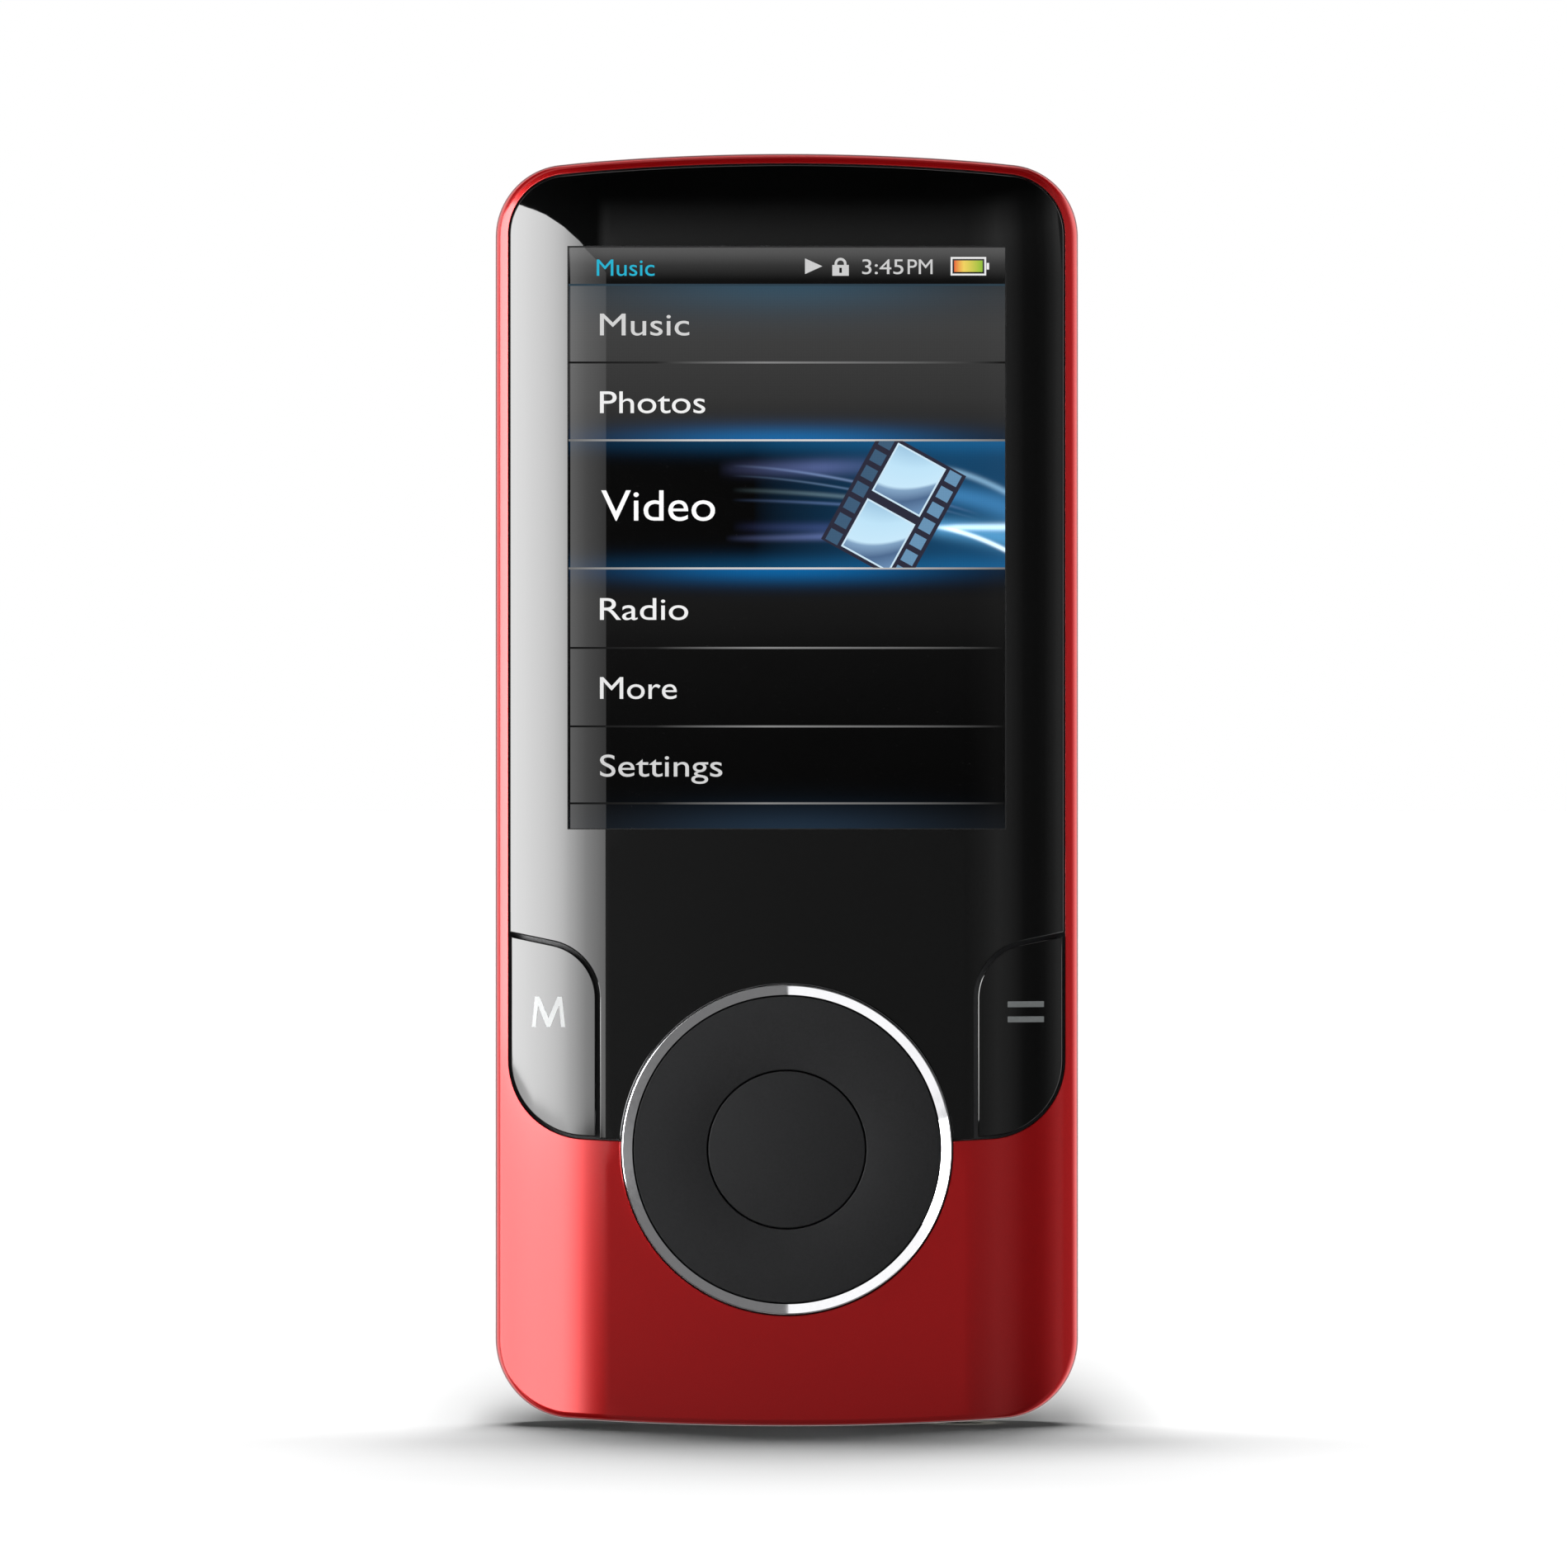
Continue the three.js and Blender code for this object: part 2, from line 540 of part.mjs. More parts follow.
function headphoneJack() {
  const body = box([JACK.x - JACK.halfWidth, JACK.x + JACK.halfWidth], [JACK.y - 2.4, JACK.y + 2.4],
    [JACK.bottom, JACK.top]);
  const nose = barZ(JACK.noseRadius, [0.5, JACK.bottom + 0.2], JACK.x, JACK.y, 24);
  return cut(body.add(nose), barZ(JACK.boreRadius, [-1, JACK.top - 0.8], JACK.x, JACK.y, 24));
}

const SWITCH_CASE = { halfWidth: 4.4, depths: [1.05, 2.75], bottom: 83.0, top: 85.6 };

function switchCase() {
  const { halfWidth, depths, bottom, top } = SWITCH_CASE;
  const body = box([SLIDER.x - halfWidth, SLIDER.x + halfWidth], depths, [bottom, top]);
  const slot = box([SLIDER.x - 2.6, SLIDER.x + 2.6], [SLIDER.y - 0.55, SLIDER.y + 0.35],
    [top - 1.4, top + 1]);
  return cut(body, slot);
}

const STEM_X = SLIDER.x - SLIDER.travel / 2;

const switchStem = () =>
  box([STEM_X - 0.7, STEM_X + 0.7], [SLIDER.y - 0.45, SLIDER.y + 0.25], [84.4, 87.0]);

function holdSlider() {
  const knob = box([STEM_X - 2.4, STEM_X + 2.4], [SLIDER.y - 0.75, SLIDER.y + 0.75], [86.8, 88.75]);
  const flange = box([STEM_X - 2.9, STEM_X + 2.9], [SLIDER.y - 1.05, SLIDER.y + 1.0], [86.5, 87.1]);
  const fork = box([STEM_X - 0.75, STEM_X + 0.75], [SLIDER.y - 0.5, SLIDER.y + 0.3], [86, 87.15]);
  const grooves = [-1.2, -0.4, 0.4, 1.2].map((x) =>
    box([STEM_X + x - 0.15, STEM_X + x + 0.15], [SLIDER.y - 2, SLIDER.y + 2], [88.5, 90]));
  return cut(knob.add(flange), fork, ...grooves);
}

// A small cross-head screw along Y, its head towards the back.
function screw(x, z, { head, headY, shank, tipY }) {
  const whole = barY(head, headY, x, z, 16).add(barY(shank, [tipY, headY[0] + 0.1], x, z, 10));
  const reach = head * 0.62;
  const arm = 0.16;
  const depth = [headY[1] - 0.35, headY[1] + 1];
  return cut(whole, box([x - reach, x + reach], depth, [z - arm, z + arm]),
    box([x - arm, x + arm], depth, [z - reach, z + reach]));
}

const CASE_SCREW = { head: 1.35, headY: [3.22, 3.95], shank: 0.65, tipY: -1.1 };
const BOARD_SCREW = { head: 1.15, headY: onBack(0.6), shank: 0.42, tipY: -2.1 };

// ---------------------------------------------------------------- assembly

const player = new THREE.Group();

function add(name, solid, material) {
  const mesh = new THREE.Mesh(toGeometry(solid), material);
  mesh.name = name;
  player.add(mesh);
}

add("front_housing", frontHousing(), RED);
add("rear_cover", rearCover(), RED);
add("screen_window", windowSolid(), GLOSS_BLACK);
add("window_adhesive", windowAdhesive(), ADHESIVE);
add("left_menu_key", cornerKey(-1), GLOSS_BLACK);
add("right_back_key", cornerKey(1), GLOSS_BLACK);
add("pad_trim_ring", padTrimRing(), CHROME);
add("control_pad", controlPad(), MATTE_BLACK);
add("pad_cushion", padCushion(), SILICONE);
add("centre_button", centreButton(), MATTE_BLACK);

add("lcd_gasket", lcdGasket(), FOAM);
add("lcd_glass", lcdPlate(0, 0.9), SCREEN_GLASS);
add("lcd_backlight", lcdPlate(0.95, 1.7), WHITE_PLASTIC);
add("lcd_tray", lcdTray(), STEEL);
add("lcd_flex_cable", lcdFlex(), POLYIMIDE);
add("lcd_connector", lcdConnector(), BLACK_PLASTIC);

add("main_board", mainBoard(), SOLDER_MASK);
for (const [name, place] of Object.entries(DOMES)) add(name, dome(...place), NICKEL);
add("processor_chip", box([-11.5, -2.5], onBack(1.1), [23.5, 32.5]), CHIP_EPOXY);
add("flash_memory_chip", box([1, 13], onBack(1.0), [14.8, 33.0]), CHIP_EPOXY);
add("power_chip", box([-12.6, -8.1], onBack(0.9), [17.0, 21.5]), CHIP_EPOXY);
add("radio_chip", box([-6.0, -2.0], onBack(0.85), [16.5, 20.5]), CHIP_EPOXY);
add("inductor", box([-13.4, -10.4], onBack(1.6), [10.5, 13.5]), FOAM);
add("clock_crystal", box([-7.6, -4.4], onBack(0.8), [11.0, 13.0]), NICKEL);

add("battery", battery(), FOIL);
add("battery_tape", batteryTape(), WHITE_PLASTIC);
add("battery_lead_positive", batteryLead(-2.5), RED_WIRE);
add("battery_lead_negative", batteryLead(-5.0), BLACK_WIRE);

add("usb_shell", usbShell(), STEEL);
add("usb_tongue", usbTongue(), BLACK_PLASTIC);
add("headphone_jack", headphoneJack(), BLACK_PLASTIC);
add("hold_switch_case", switchCase(), STEEL);
add("hold_switch_stem", switchStem(), BLACK_PLASTIC);
add("hold_slider", holdSlider(), MATTE_BLACK);

[-BOSS.x, BOSS.x].forEach((x, i) =>
  add(`case_screw_${i + 1}`, screw(x, BOSS.z, CASE_SCREW), DARK_STEEL));
BOARD_SCREWS.forEach(([x, z], i) =>
  add(`board_screw_${i + 1}`, screw(x, z, BOARD_SCREW), STEEL));

export default player;
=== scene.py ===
import math
from dataclasses import dataclass

import bmesh
import bpy
import numpy as np
from mathutils import Matrix, Vector, geometry


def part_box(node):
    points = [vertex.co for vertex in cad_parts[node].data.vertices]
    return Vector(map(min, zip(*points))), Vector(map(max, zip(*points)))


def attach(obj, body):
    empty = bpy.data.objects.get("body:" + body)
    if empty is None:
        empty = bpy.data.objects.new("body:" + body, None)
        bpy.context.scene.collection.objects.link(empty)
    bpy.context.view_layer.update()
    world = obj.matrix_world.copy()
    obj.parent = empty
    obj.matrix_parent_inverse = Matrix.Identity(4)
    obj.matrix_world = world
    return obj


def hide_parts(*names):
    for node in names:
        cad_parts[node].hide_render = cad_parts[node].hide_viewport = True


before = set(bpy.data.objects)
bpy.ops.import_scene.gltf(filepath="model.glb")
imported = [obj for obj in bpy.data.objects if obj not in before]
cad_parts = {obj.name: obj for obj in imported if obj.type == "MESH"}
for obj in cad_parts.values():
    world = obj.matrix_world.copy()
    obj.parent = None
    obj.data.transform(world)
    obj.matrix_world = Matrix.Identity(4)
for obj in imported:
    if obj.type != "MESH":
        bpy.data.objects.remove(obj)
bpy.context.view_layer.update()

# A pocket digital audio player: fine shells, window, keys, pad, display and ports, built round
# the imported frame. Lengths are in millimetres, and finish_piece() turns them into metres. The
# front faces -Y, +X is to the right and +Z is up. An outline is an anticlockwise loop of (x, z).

MM = 0.001
QUARTER = math.pi / 2


def cad_box(node):
    """Lowest and highest corner of a CAD node, in millimetres."""
    low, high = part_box(node)
    return np.array(low) / MM, np.array(high) / MM


# ---------------------------------------------------------------- sizes from the frame

COVER_HIGH = cad_box("rear_cover")[1]
WINDOW_LOW, WINDOW_HIGH = cad_box("screen_window")
RING_LOW, RING_HIGH = cad_box("pad_trim_ring")
LCD_LOW, LCD_HIGH = cad_box("lcd_glass")
USB_LOW, USB_HIGH = cad_box("usb_shell")
TONGUE_LOW, TONGUE_HIGH = cad_box("usb_tongue")
JACK_LOW, JACK_HIGH = cad_box("headphone_jack")
SLIDER_LOW, SLIDER_HIGH = cad_box("hold_slider")

HALF_WIDTH = COVER_HIGH[0]
HEIGHT = COVER_HIGH[2]
FRONT_Y = WINDOW_LOW[1]
REAR_Y = COVER_HIGH[1]
PART_Y = 0.4  # the shells meet here
SEAM = 0.04
PAD_X = (RING_LOW[0] + RING_HIGH[0]) / 2
PAD_Z = (RING_LOW[2] + RING_HIGH[2]) / 2
PAD_TOP_Y = cad_box("control_pad")[0][1]
BUTTON_TOP_Y = cad_box("centre_button")[0][1]

ROLL_START, ROLL_RADIUS = 12.4, 12.0  # where the faces start to roll back at the sides
FRONT_TOP_ROLL = (9.0, 1.5)  # length and drop
REAR_END_ROLL = (8.0, 1.0)
WALL = 1.1
WINDOW_THICKNESS = 1.1
RECESS_DEPTH = 1.3
LEDGE_BACK = 1.9
REAR_WALL = 1.15
RING_RADIUS, PAD_RADIUS, BUTTON_RADIUS = 11.55, 10.75, 5.5
KEY_CURVE = (17.2, 30.0)  # centre of the right key's inner top corner
KEY_CURVE_RADIUS = 3.94
KEY_OUTER_TOP = 34.5
KEY_GAP = 0.27
FINE_GAP = 0.1
CAP_THICKNESS = 0.9
SCREEN_LEFT, SCREEN_TOP = -15.35, 82.75
SCREEN_WIDTH, SCREEN_HEIGHT = 30.7, 40.85
MASK_MARGIN = 0.06  # clear glass beyond the picture
USB_HOLE_GAP = 0.2
JACK_X, JACK_Y = 12.4, 0.4
JACK_HOLE = 2.65
SLOT_LOW, SLOT_HIGH = (4.3, 1.1), (12.7, 2.9)  # the slider's slot, in x and y
SCREW_X, SCREW_Z = 16.2, 16.4
SCREW_HEAD_Y = (3.22, 3.95)
SCREW_WELL = 1.5


# ---------------------------------------------------------------- camera, which comes first

def make_camera():
    """A long lens straight in front, a little left of the middle."""
    distance, width_seen = 900.0, 110.5
    data = bpy.data.cameras.new("camera")
    data.sensor_width = 36.0
    data.lens = 36.0 * distance / width_seen
    data.clip_start, data.clip_end = 0.01, 60.0
    camera = bpy.data.objects.new("camera", data)
    bpy.context.scene.collection.objects.link(camera)
    camera.location = Vector((-0.233, -distance, 45.03)) * MM
    camera.rotation_euler = (QUARTER, 0.0, 0.0)
    bpy.context.scene.camera = camera


make_camera()
bpy.context.scene.view_settings.view_transform = "Standard"


# ---------------------------------------------------------------- the player's two faces

def side_drop(x):
    past = np.clip(np.abs(x) - ROLL_START, 0, None)
    return ROLL_RADIUS - np.sqrt(ROLL_RADIUS**2 - past**2)


def end_drop(past, roll):
    length, drop = roll
    return drop * (np.clip(past, 0, None) / length) ** 2


def front_face(x, z):
    return FRONT_Y + side_drop(x) + end_drop(z - HEIGHT + FRONT_TOP_ROLL[0], FRONT_TOP_ROLL)


def rear_face(x, z):
    low = end_drop(REAR_END_ROLL[0] - z, REAR_END_ROLL)
    high = end_drop(z - HEIGHT + REAR_END_ROLL[0], REAR_END_ROLL)
    return REAR_Y - side_drop(x) - low - high


def moved(face, distance):
    return lambda x, z: face(x, z) + distance


def flat(y):
    return lambda x, z: np.full(np.shape(x), float(y))


# ---------------------------------------------------------------- outlines

REPEATED = 1e-4  # points closer than this are one point


def arc(centre, radius, start, end, step=0.35):
    """Points along an arc, from one angle to another in radians."""
    count = max(2, math.ceil(abs(end - start) * radius / step)) + 1
    turn = np.linspace(start, end, count)
    return np.column_stack([centre[0] + radius * np.cos(turn), centre[1] + radius * np.sin(turn)])


def stepped(starts, ends, step):
    """Lines from each start to its end, as points no further apart than a step."""
    run = []
    for a, b in zip(starts, ends):
        count = max(1, math.ceil(np.linalg.norm(b - a) / step))
        run.append(a + (b - a) * np.arange(count)[:, None] / count)
    return run


def closed(*pieces, step=1.5):
    """One loop from pieces of line, without repeated points and with no gap longer than a step."""
    points = np.vstack(pieces)
    before = np.roll(points, 1, axis=0)
    points = points[np.linalg.norm(points - before, axis=1) > REPEATED]
    return np.vstack(stepped(points, np.roll(points, -1, axis=0), step))


def closed_half(*pieces, step=1.5):
    """An open run of points with no gap longer than a step."""
    points = np.vstack(pieces)
    apart = np.linalg.norm(np.diff(points, axis=0), axis=1) > REPEATED
    points = np.vstack([points[:1], points[1:][apart]])
    return np.vstack([*stepped(points[:-1], points[1:], step), points[-1:]])


def both_sides(half):
    """A whole loop from its right half, which runs from the bottom middle to the top middle."""
    left = half[::-1] * (-1, 1)
    return closed(half, left)


def mirrored(loop):
    return loop[::-1] * (-1, 1)


def outward(loop):
    """For each point, the step that moves the loop's sides out by 1."""
    along = np.roll(loop, -1, axis=0) - loop
    along /= np.linalg.norm(along, axis=1)[:, None]
    normal = np.column_stack([along[:, 1], -along[:, 0]])
    before = np.roll(normal, 1, axis=0)
    return (normal + before) / (1 + np.sum(normal * before, axis=1))[:, None]


def grown(loop, distance):
    return loop + distance * outward(loop)


@dataclass
class Outline:
    """Straight sides, ends bowed outwards and round corners, all tangent."""

    half_width: float
    bottom: float
    top: float
    bottom_bow: float
    top_bow: float
    bottom_corner: float
    top_corner: float

    def inset(self, d):
        return Outline(
            self.half_width - d, self.bottom + d, self.top - d, self.bottom_bow - d,
            self.top_bow - d, self.bottom_corner - d, self.top_corner - d,
        )

    def low_arcs(self, from_x=0.0):
        """The bottom bow from some x to the right corner, and that corner."""
        bow, corner = self.bottom_bow, self.bottom_corner
        x = self.half_width - corner
        angle = math.asin(x / (bow - corner))
        z = self.bottom + bow - (bow - corner) * math.cos(angle)
        start = math.asin(from_x / bow) - QUARTER
        return np.vstack([
            arc((0, self.bottom + bow), bow, start, angle - QUARTER, 1.5),
            arc((x, z), corner, angle - QUARTER, 0),
        ])

    def high_arcs(self):
        """The top right corner, and the top bow to the middle."""
        bow, corner = self.top_bow, self.top_corner
        x = self.half_width - corner
        angle = math.asin(x / (bow - corner))
        z = self.top - bow + (bow - corner) * math.cos(angle)
        return np.vstack([
            arc((x, z), corner, 0, QUARTER - angle),
            arc((0, self.top - bow), bow, QUARTER - angle, QUARTER, 1.5),
        ])

    def loop(self):
        return both_sides(closed_half(self.low_arcs(), self.high_arcs()))

    def meets_circle(self, radius):
        """Where a circle round the pad's centre crosses the bottom bow, on the right."""
        gap = self.bottom + self.bottom_bow - PAD_Z
        up = (gap**2 + radius**2 - self.bottom_bow**2) / (2 * gap)
        return math.sqrt(radius**2 - up**2), up


BODY = Outline(HALF_WIDTH, 0.0, HEIGHT, 227, 165, 5.5, 5.0)
PANEL = Outline(HALF_WIDTH - 0.93, 19.7, HEIGHT - 0.7, 227, 164.3, 5.5, 4.2)


def key_slope():
    """The angle at which the top of a key rises to the panel's edge."""
    across, up = PANEL.half_width - KEY_CURVE[0], KEY_OUTER_TOP - KEY_CURVE[1]
    return math.acos(KEY_CURVE_RADIUS / math.hypot(across, up)) - math.atan2(across, up)


KEY_SLOPE = key_slope()


def recess_loop():
    """The step in the front shell that holds the window, the keys and the pad's ring."""
    radius = RING_RADIUS + FINE_GAP
    x, up = PANEL.meets_circle(radius)
    low = arc((PAD_X, PAD_Z), radius, -QUARTER, math.atan2(up, x))
    return both_sides(closed_half(low, PANEL.low_arcs(x), PANEL.high_arcs()))


def key_side(grow, panel):
    """The right key's inner side, corner and slope, from the bottom up to the panel's edge."""
    radius = KEY_CURVE_RADIUS + grow
    inner = KEY_CURVE[0] - radius
    bend = arc(KEY_CURVE, radius, 2 * QUARTER, QUARTER + KEY_SLOPE, 0.3)
    end_x = panel.half_width
    end_z = bend[-1][1] + (end_x - bend[-1][0]) * math.tan(KEY_SLOPE)
    return inner, np.vstack([bend, [[end_x, end_z]]])


def window_loop():
    """The window: round the pad's upper half, past both keys and over the top."""
    panel = PANEL.inset(FINE_GAP)
    radius = RING_RADIUS + FINE_GAP
    x, up = panel.meets_circle(radius)
    inner, side = key_side(KEY_GAP / 2, panel)
    over_pad = arc((PAD_X, PAD_Z), radius, QUARTER, math.atan2(up, x))
    bow = panel.bottom_bow
    start, end = math.asin(x / bow) - QUARTER, math.asin(inner / bow) - QUARTER
    foot = arc((0, panel.bottom + bow), bow, start, end, 0.5)
    return both_sides(closed_half(over_pad, foot, side, panel.high_arcs()))


def key_loop():
    """The right key's cap."""
    panel = PANEL.inset(0.2)
    inner, side = key_side(-KEY_GAP / 2, panel)
    return closed(panel.low_arcs(inner), side[::-1])


def circle(centre, radius, step=0.35):
    return closed(arc(centre, radius, 0, 4 * QUARTER, step))


def rounded_rectangle(low, high, radius, step=0.2):
    (x0, y0), (x1, y1) = low, high
    corners = [(x1 - radius, y0 + radius), (x1 - radius, y1 - radius),
               (x0 + radius, y1 - radius), (x0 + radius, y0 + radius)]
    turns = [arc(c, radius, (i - 1) * QUARTER, i * QUARTER, step) for i, c in enumerate(corners)]
    return closed(*turns)


# ---------------------------------------------------------------- meshes

def spread(low, high, step):
    return np.linspace(low, high, max(1, math.ceil((high - low) / step)) + 1)


# The grid's columns crowd together where a face starts to roll, so that reflections end cleanly.
ROLL_COLUMNS = np.concatenate([
    spread(ROLL_START - 0.6, ROLL_START + 1.2, 0.3), spread(ROLL_START + 1.8, HALF_WIDTH, 0.7)])
GRID_X = np.unique(np.concatenate([ROLL_COLUMNS, -ROLL_COLUMNS, spread(-9, 9, 3.0)]).round(6))
GRID_Z = np.unique(np.concatenate([
    spread(0, REAR_END_ROLL[0], 0.9),
    spread(REAR_END_ROLL[0], HEIGHT - FRONT_TOP_ROLL[0], 1.5),
    spread(HEIGHT - FRONT_TOP_ROLL[0], HEIGHT, 0.9),
]).round(6))
GRID = np.array([(x, z) for x in GRID_X for z in GRID_Z])
NO_GRID = np.zeros((0, 2))


def is_inside(points, loop):
    """Which points lie inside a closed loop."""
    x, z = points[:, :1], points[:, 1:]
    ax, az = loop[:, 0], loop[:, 1]
    bx, bz = np.roll(ax, -1), np.roll(az, -1)
    crosses = (az > z) != (bz > z)
    rise = np.where(bz == az, 1.0, bz - az)
    hits = crosses & (x < (bx - ax) * (z - az) / rise + ax)
    return hits.sum(axis=1) % 2 == 1


def far_from(points, loop, distance):
    """Which points keep a distance from every side of a loop."""
    a, b = loop, np.roll(loop, -1, axis=0)
    side = b - a
    length = np.maximum(np.sum(side**2, axis=1), 1e-12)
    offset = points[:, None, :] - a[None, :, :]
    share = np.clip(np.sum(offset * side, axis=2) / length, 0, 1)
    nearest = np.linalg.norm(offset - share[:, :, None] * side, axis=2).min(axis=1)
    return nearest > distance


class Skin:
    """Collects rings of points and joins them into the faces of one closed mesh."""

    def __init__(self):
        self.points = []
        self.faces = []

    def add(self, line, y):
        """Adds the points of a line, given as (x, z), at y, and returns their numbers."""
        start = len(self.points)
        self.points.extend(np.column_stack([line[:, 0], y, line[:, 1]]))
        return list(range(start, start + len(line)))

    def ring(self, loop, depth):
        """Adds a loop at a depth, which is a number or a function of x and z."""
        if callable(depth):
            return self.add(loop, depth(loop[:, 0], loop[:, 1]))
        return self.add(loop, np.full(len(loop), float(depth)))

    def bands(self, rings):
        """Joins each ring to the next, and returns the first and the last."""
        for first, second in zip(rings, rings[1:]):
            count = len(first)
            for i in range(count):
                j = (i + 1) % count
                self.faces.append((first[i], first[j], second[j], second[i]))
        return rings[0], rings[-1]

    def edge(self, loop, width, face, way, steps=4, hole=False):
        """Rings from a face, round an edge and on to its wall. way is 1 if the wall runs to +Y."""
        step = outward(loop) * (-1 if hole else 1)
        inner = loop - width * step
        start, corner = face(inner[:, 0], inner[:, 1]), face(loop[:, 0], loop[:, 1])
        rings = []
        for t in np.linspace(0, 1, steps + 1):
            rest = (1 - t) ** 2
            y = rest * start + 2 * t * (1 - t) * corner + t**2 * (corner + way * width)
            rings.append(self.add(loop - rest * width * step, y))
        return rings

    def fill(self, depth, outer, holes=(), lines=(), grid=NO_GRID, margin=0.25):
        """Covers the space inside a ring, and outside any holes, with triangles on a surface."""
        rings = [outer, *holes]
        loops = [np.array([self.points[i] for i in ring])[:, [0, 2]] for ring in rings]
        keep = is_inside(grid, loops[0])
        for loop in loops[1:]:
            keep &= ~is_inside(grid, loop)
        grid = grid[keep]
        for loop in [*loops, *lines]:
            grid = grid[far_from(grid, loop, margin)] if len(grid) else grid
        extra = np.vstack([*lines, grid])
        index = [i for ring in rings for i in ring] + self.ring(extra, depth)
        spots = np.vstack([*loops, extra])
        edges, start = [], 0
        for loop in [*loops, *lines]:
            count = len(loop)
            edges += [(start + i, start + (i + 1) % count) for i in range(count)]
            start += count
        made = geometry.delaunay_2d_cdt([Vector(p) for p in spots], edges, [], 0, 1e-7)
        source = [origin[0] for origin in made[3]]
        triangles = np.array([[source[i] for i in face] for face in made[2]])
        middle = spots[triangles].mean(axis=1)
        keep = is_inside(middle, loops[0])
        for loop in loops[1:]:
            keep &= ~is_inside(middle, loop)
        self.faces += [tuple(index[i] for i in face) for face in triangles[keep]]

    def turned(self, profile, centre=(PAD_X, PAD_Z), sides=160):
        """Turns a closed profile of (radius, y) about an axis along Y."""
        turn = np.arange(sides) * 4 * QUARTER / sides
        rings = []
        for radius, y in profile:
            if radius < 1e-6:
                self.points.append(np.array([centre[0], y, centre[1]]))
                rings.append([len(self.points) - 1] * sides)
            else:
                line = radius * np.column_stack([np.cos(turn), np.sin(turn)]) + centre
                rings.append(self.ring(line, y))
        for first, second in zip(rings, [*rings[1:], rings[0]]):
            for i in range(sides):
                j = (i + 1) % sides
                corners = list(dict.fromkeys((first[i], first[j], second[j], second[i])))
                if len(corners) > 2:
                    self.faces.append(tuple(corners))

    def mesh(self, name, along_z=False):
        """A Blender object in millimetres, its faces turned outwards. along_z swaps Y and Z."""
        points = np.array(self.points)
        if along_z:
            points = points[:, [0, 2, 1]]
        data = bpy.data.meshes.new(name)
        data.from_pydata(points.tolist(), [], self.faces)
        turn_out(data)
        return linked(name, data)


def linked(name, data):
    """A new object in the scene that holds some data."""
    thing = bpy.data.objects.new(name, data)
    bpy.context.scene.collection.objects.link(thing)
    return thing


def turn_out(data):
    """Removes loose points, and turns every face outwards."""
    work = bmesh.new()
    work.from_mesh(data)
    loose = [v for v in work.verts if not v.link_faces]
    bmesh.ops.delete(work, geom=loose, context="VERTS")
    bmesh.ops.recalc_face_normals(work, faces=work.faces)
    work.to_mesh(data)
    work.free()


def remove(thing):
    """Deletes an object and its mesh."""
    data = thing.data
    bpy.data.objects.remove(thing)
    bpy.data.meshes.remove(data)


def united(parts):
    """One solid from several."""
    first, *others = parts
    for other in others:
        combine(first, "UNION", other)
    return first


def combine(thing, operation, *tools):
    """Cuts the tools from thing, or joins them to it, and removes them."""
    for tool in tools:
        modifier = thing.modifiers.new("combine", "BOOLEAN")
        modifier.operation = operation
        modifier.solver = "MANIFOLD"
        modifier.object = tool
    graph = bpy.context.evaluated_depsgraph_get()
    data = bpy.data.meshes.new_from_object(thing.evaluated_get(graph))
    thing.modifiers.clear()
    old, thing.data = thing.data, data
    bpy.data.meshes.remove(old)
    for tool in tools:
        remove(tool)
    return thing


def slab(loop, front, back, grid=NO_GRID, name="slab", along_z=False):
    """A solid between two surfaces over a loop, with sharp edges."""
    skin = Skin()
    rings = [skin.ring(loop, front), skin.ring(loop, back)]
    skin.bands(rings)
    skin.fill(front, rings[0], grid=grid)
    skin.fill(back, rings[1], grid=grid)
    return skin.mesh(name, along_z)


def turned_solid(name, profile, centre=(PAD_X, PAD_Z), sides=160):
    skin = Skin()
    skin.turned(profile, centre, sides)
    return skin.mesh(name)


def soften(corners, steps=4):
    """A closed profile from (a, b, rounding) corners, each rounded off by that much."""
    points = np.array([c[:2] for c in corners], float)
    run = []
    for i, (a, b, size) in enumerate(corners):
        here = points[i]
        if size <= 0:
            run.append(here)
            continue
        before, after = points[i - 1] - here, points[(i + 1) % len(points)] - here
        start = here + before / np.linalg.norm(before) * size
        end = here + after / np.linalg.norm(after) * size
        for t in np.linspace(0, 1, steps + 1):
            run.append((1 - t) ** 2 * start + 2 * t * (1 - t) * here + t**2 * end)
    return run


def face_normal(face, way, x, z, h=0.02):
    """The exact normal of one of the player's faces at points. way is -1 if it looks forward."""
    across = (face(x + h, z) - face(x - h, z)) / (2 * h)
    up = (face(x, z + h) - face(x, z - h)) / (2 * h)
    normal = np.column_stack([-way * across, np.full(len(x), float(way)), -way * up])
    return normal / np.linalg.norm(normal, axis=1)[:, None]


def corners_of(data):
    """For each corner of each face of a mesh, its point and the face's normal."""
    vertex = np.zeros(len(data.loops), int)
    data.loops.foreach_get("vertex_index", vertex)
    places = np.zeros(len(data.vertices) * 3)
    data.vertices.foreach_get("co", places)
    sizes = [face.loop_total for face in data.polygons]
    normals = np.repeat(np.array([face.normal for face in data.polygons]), sizes, axis=0)
    return places.reshape(-1, 3)[vertex], normals


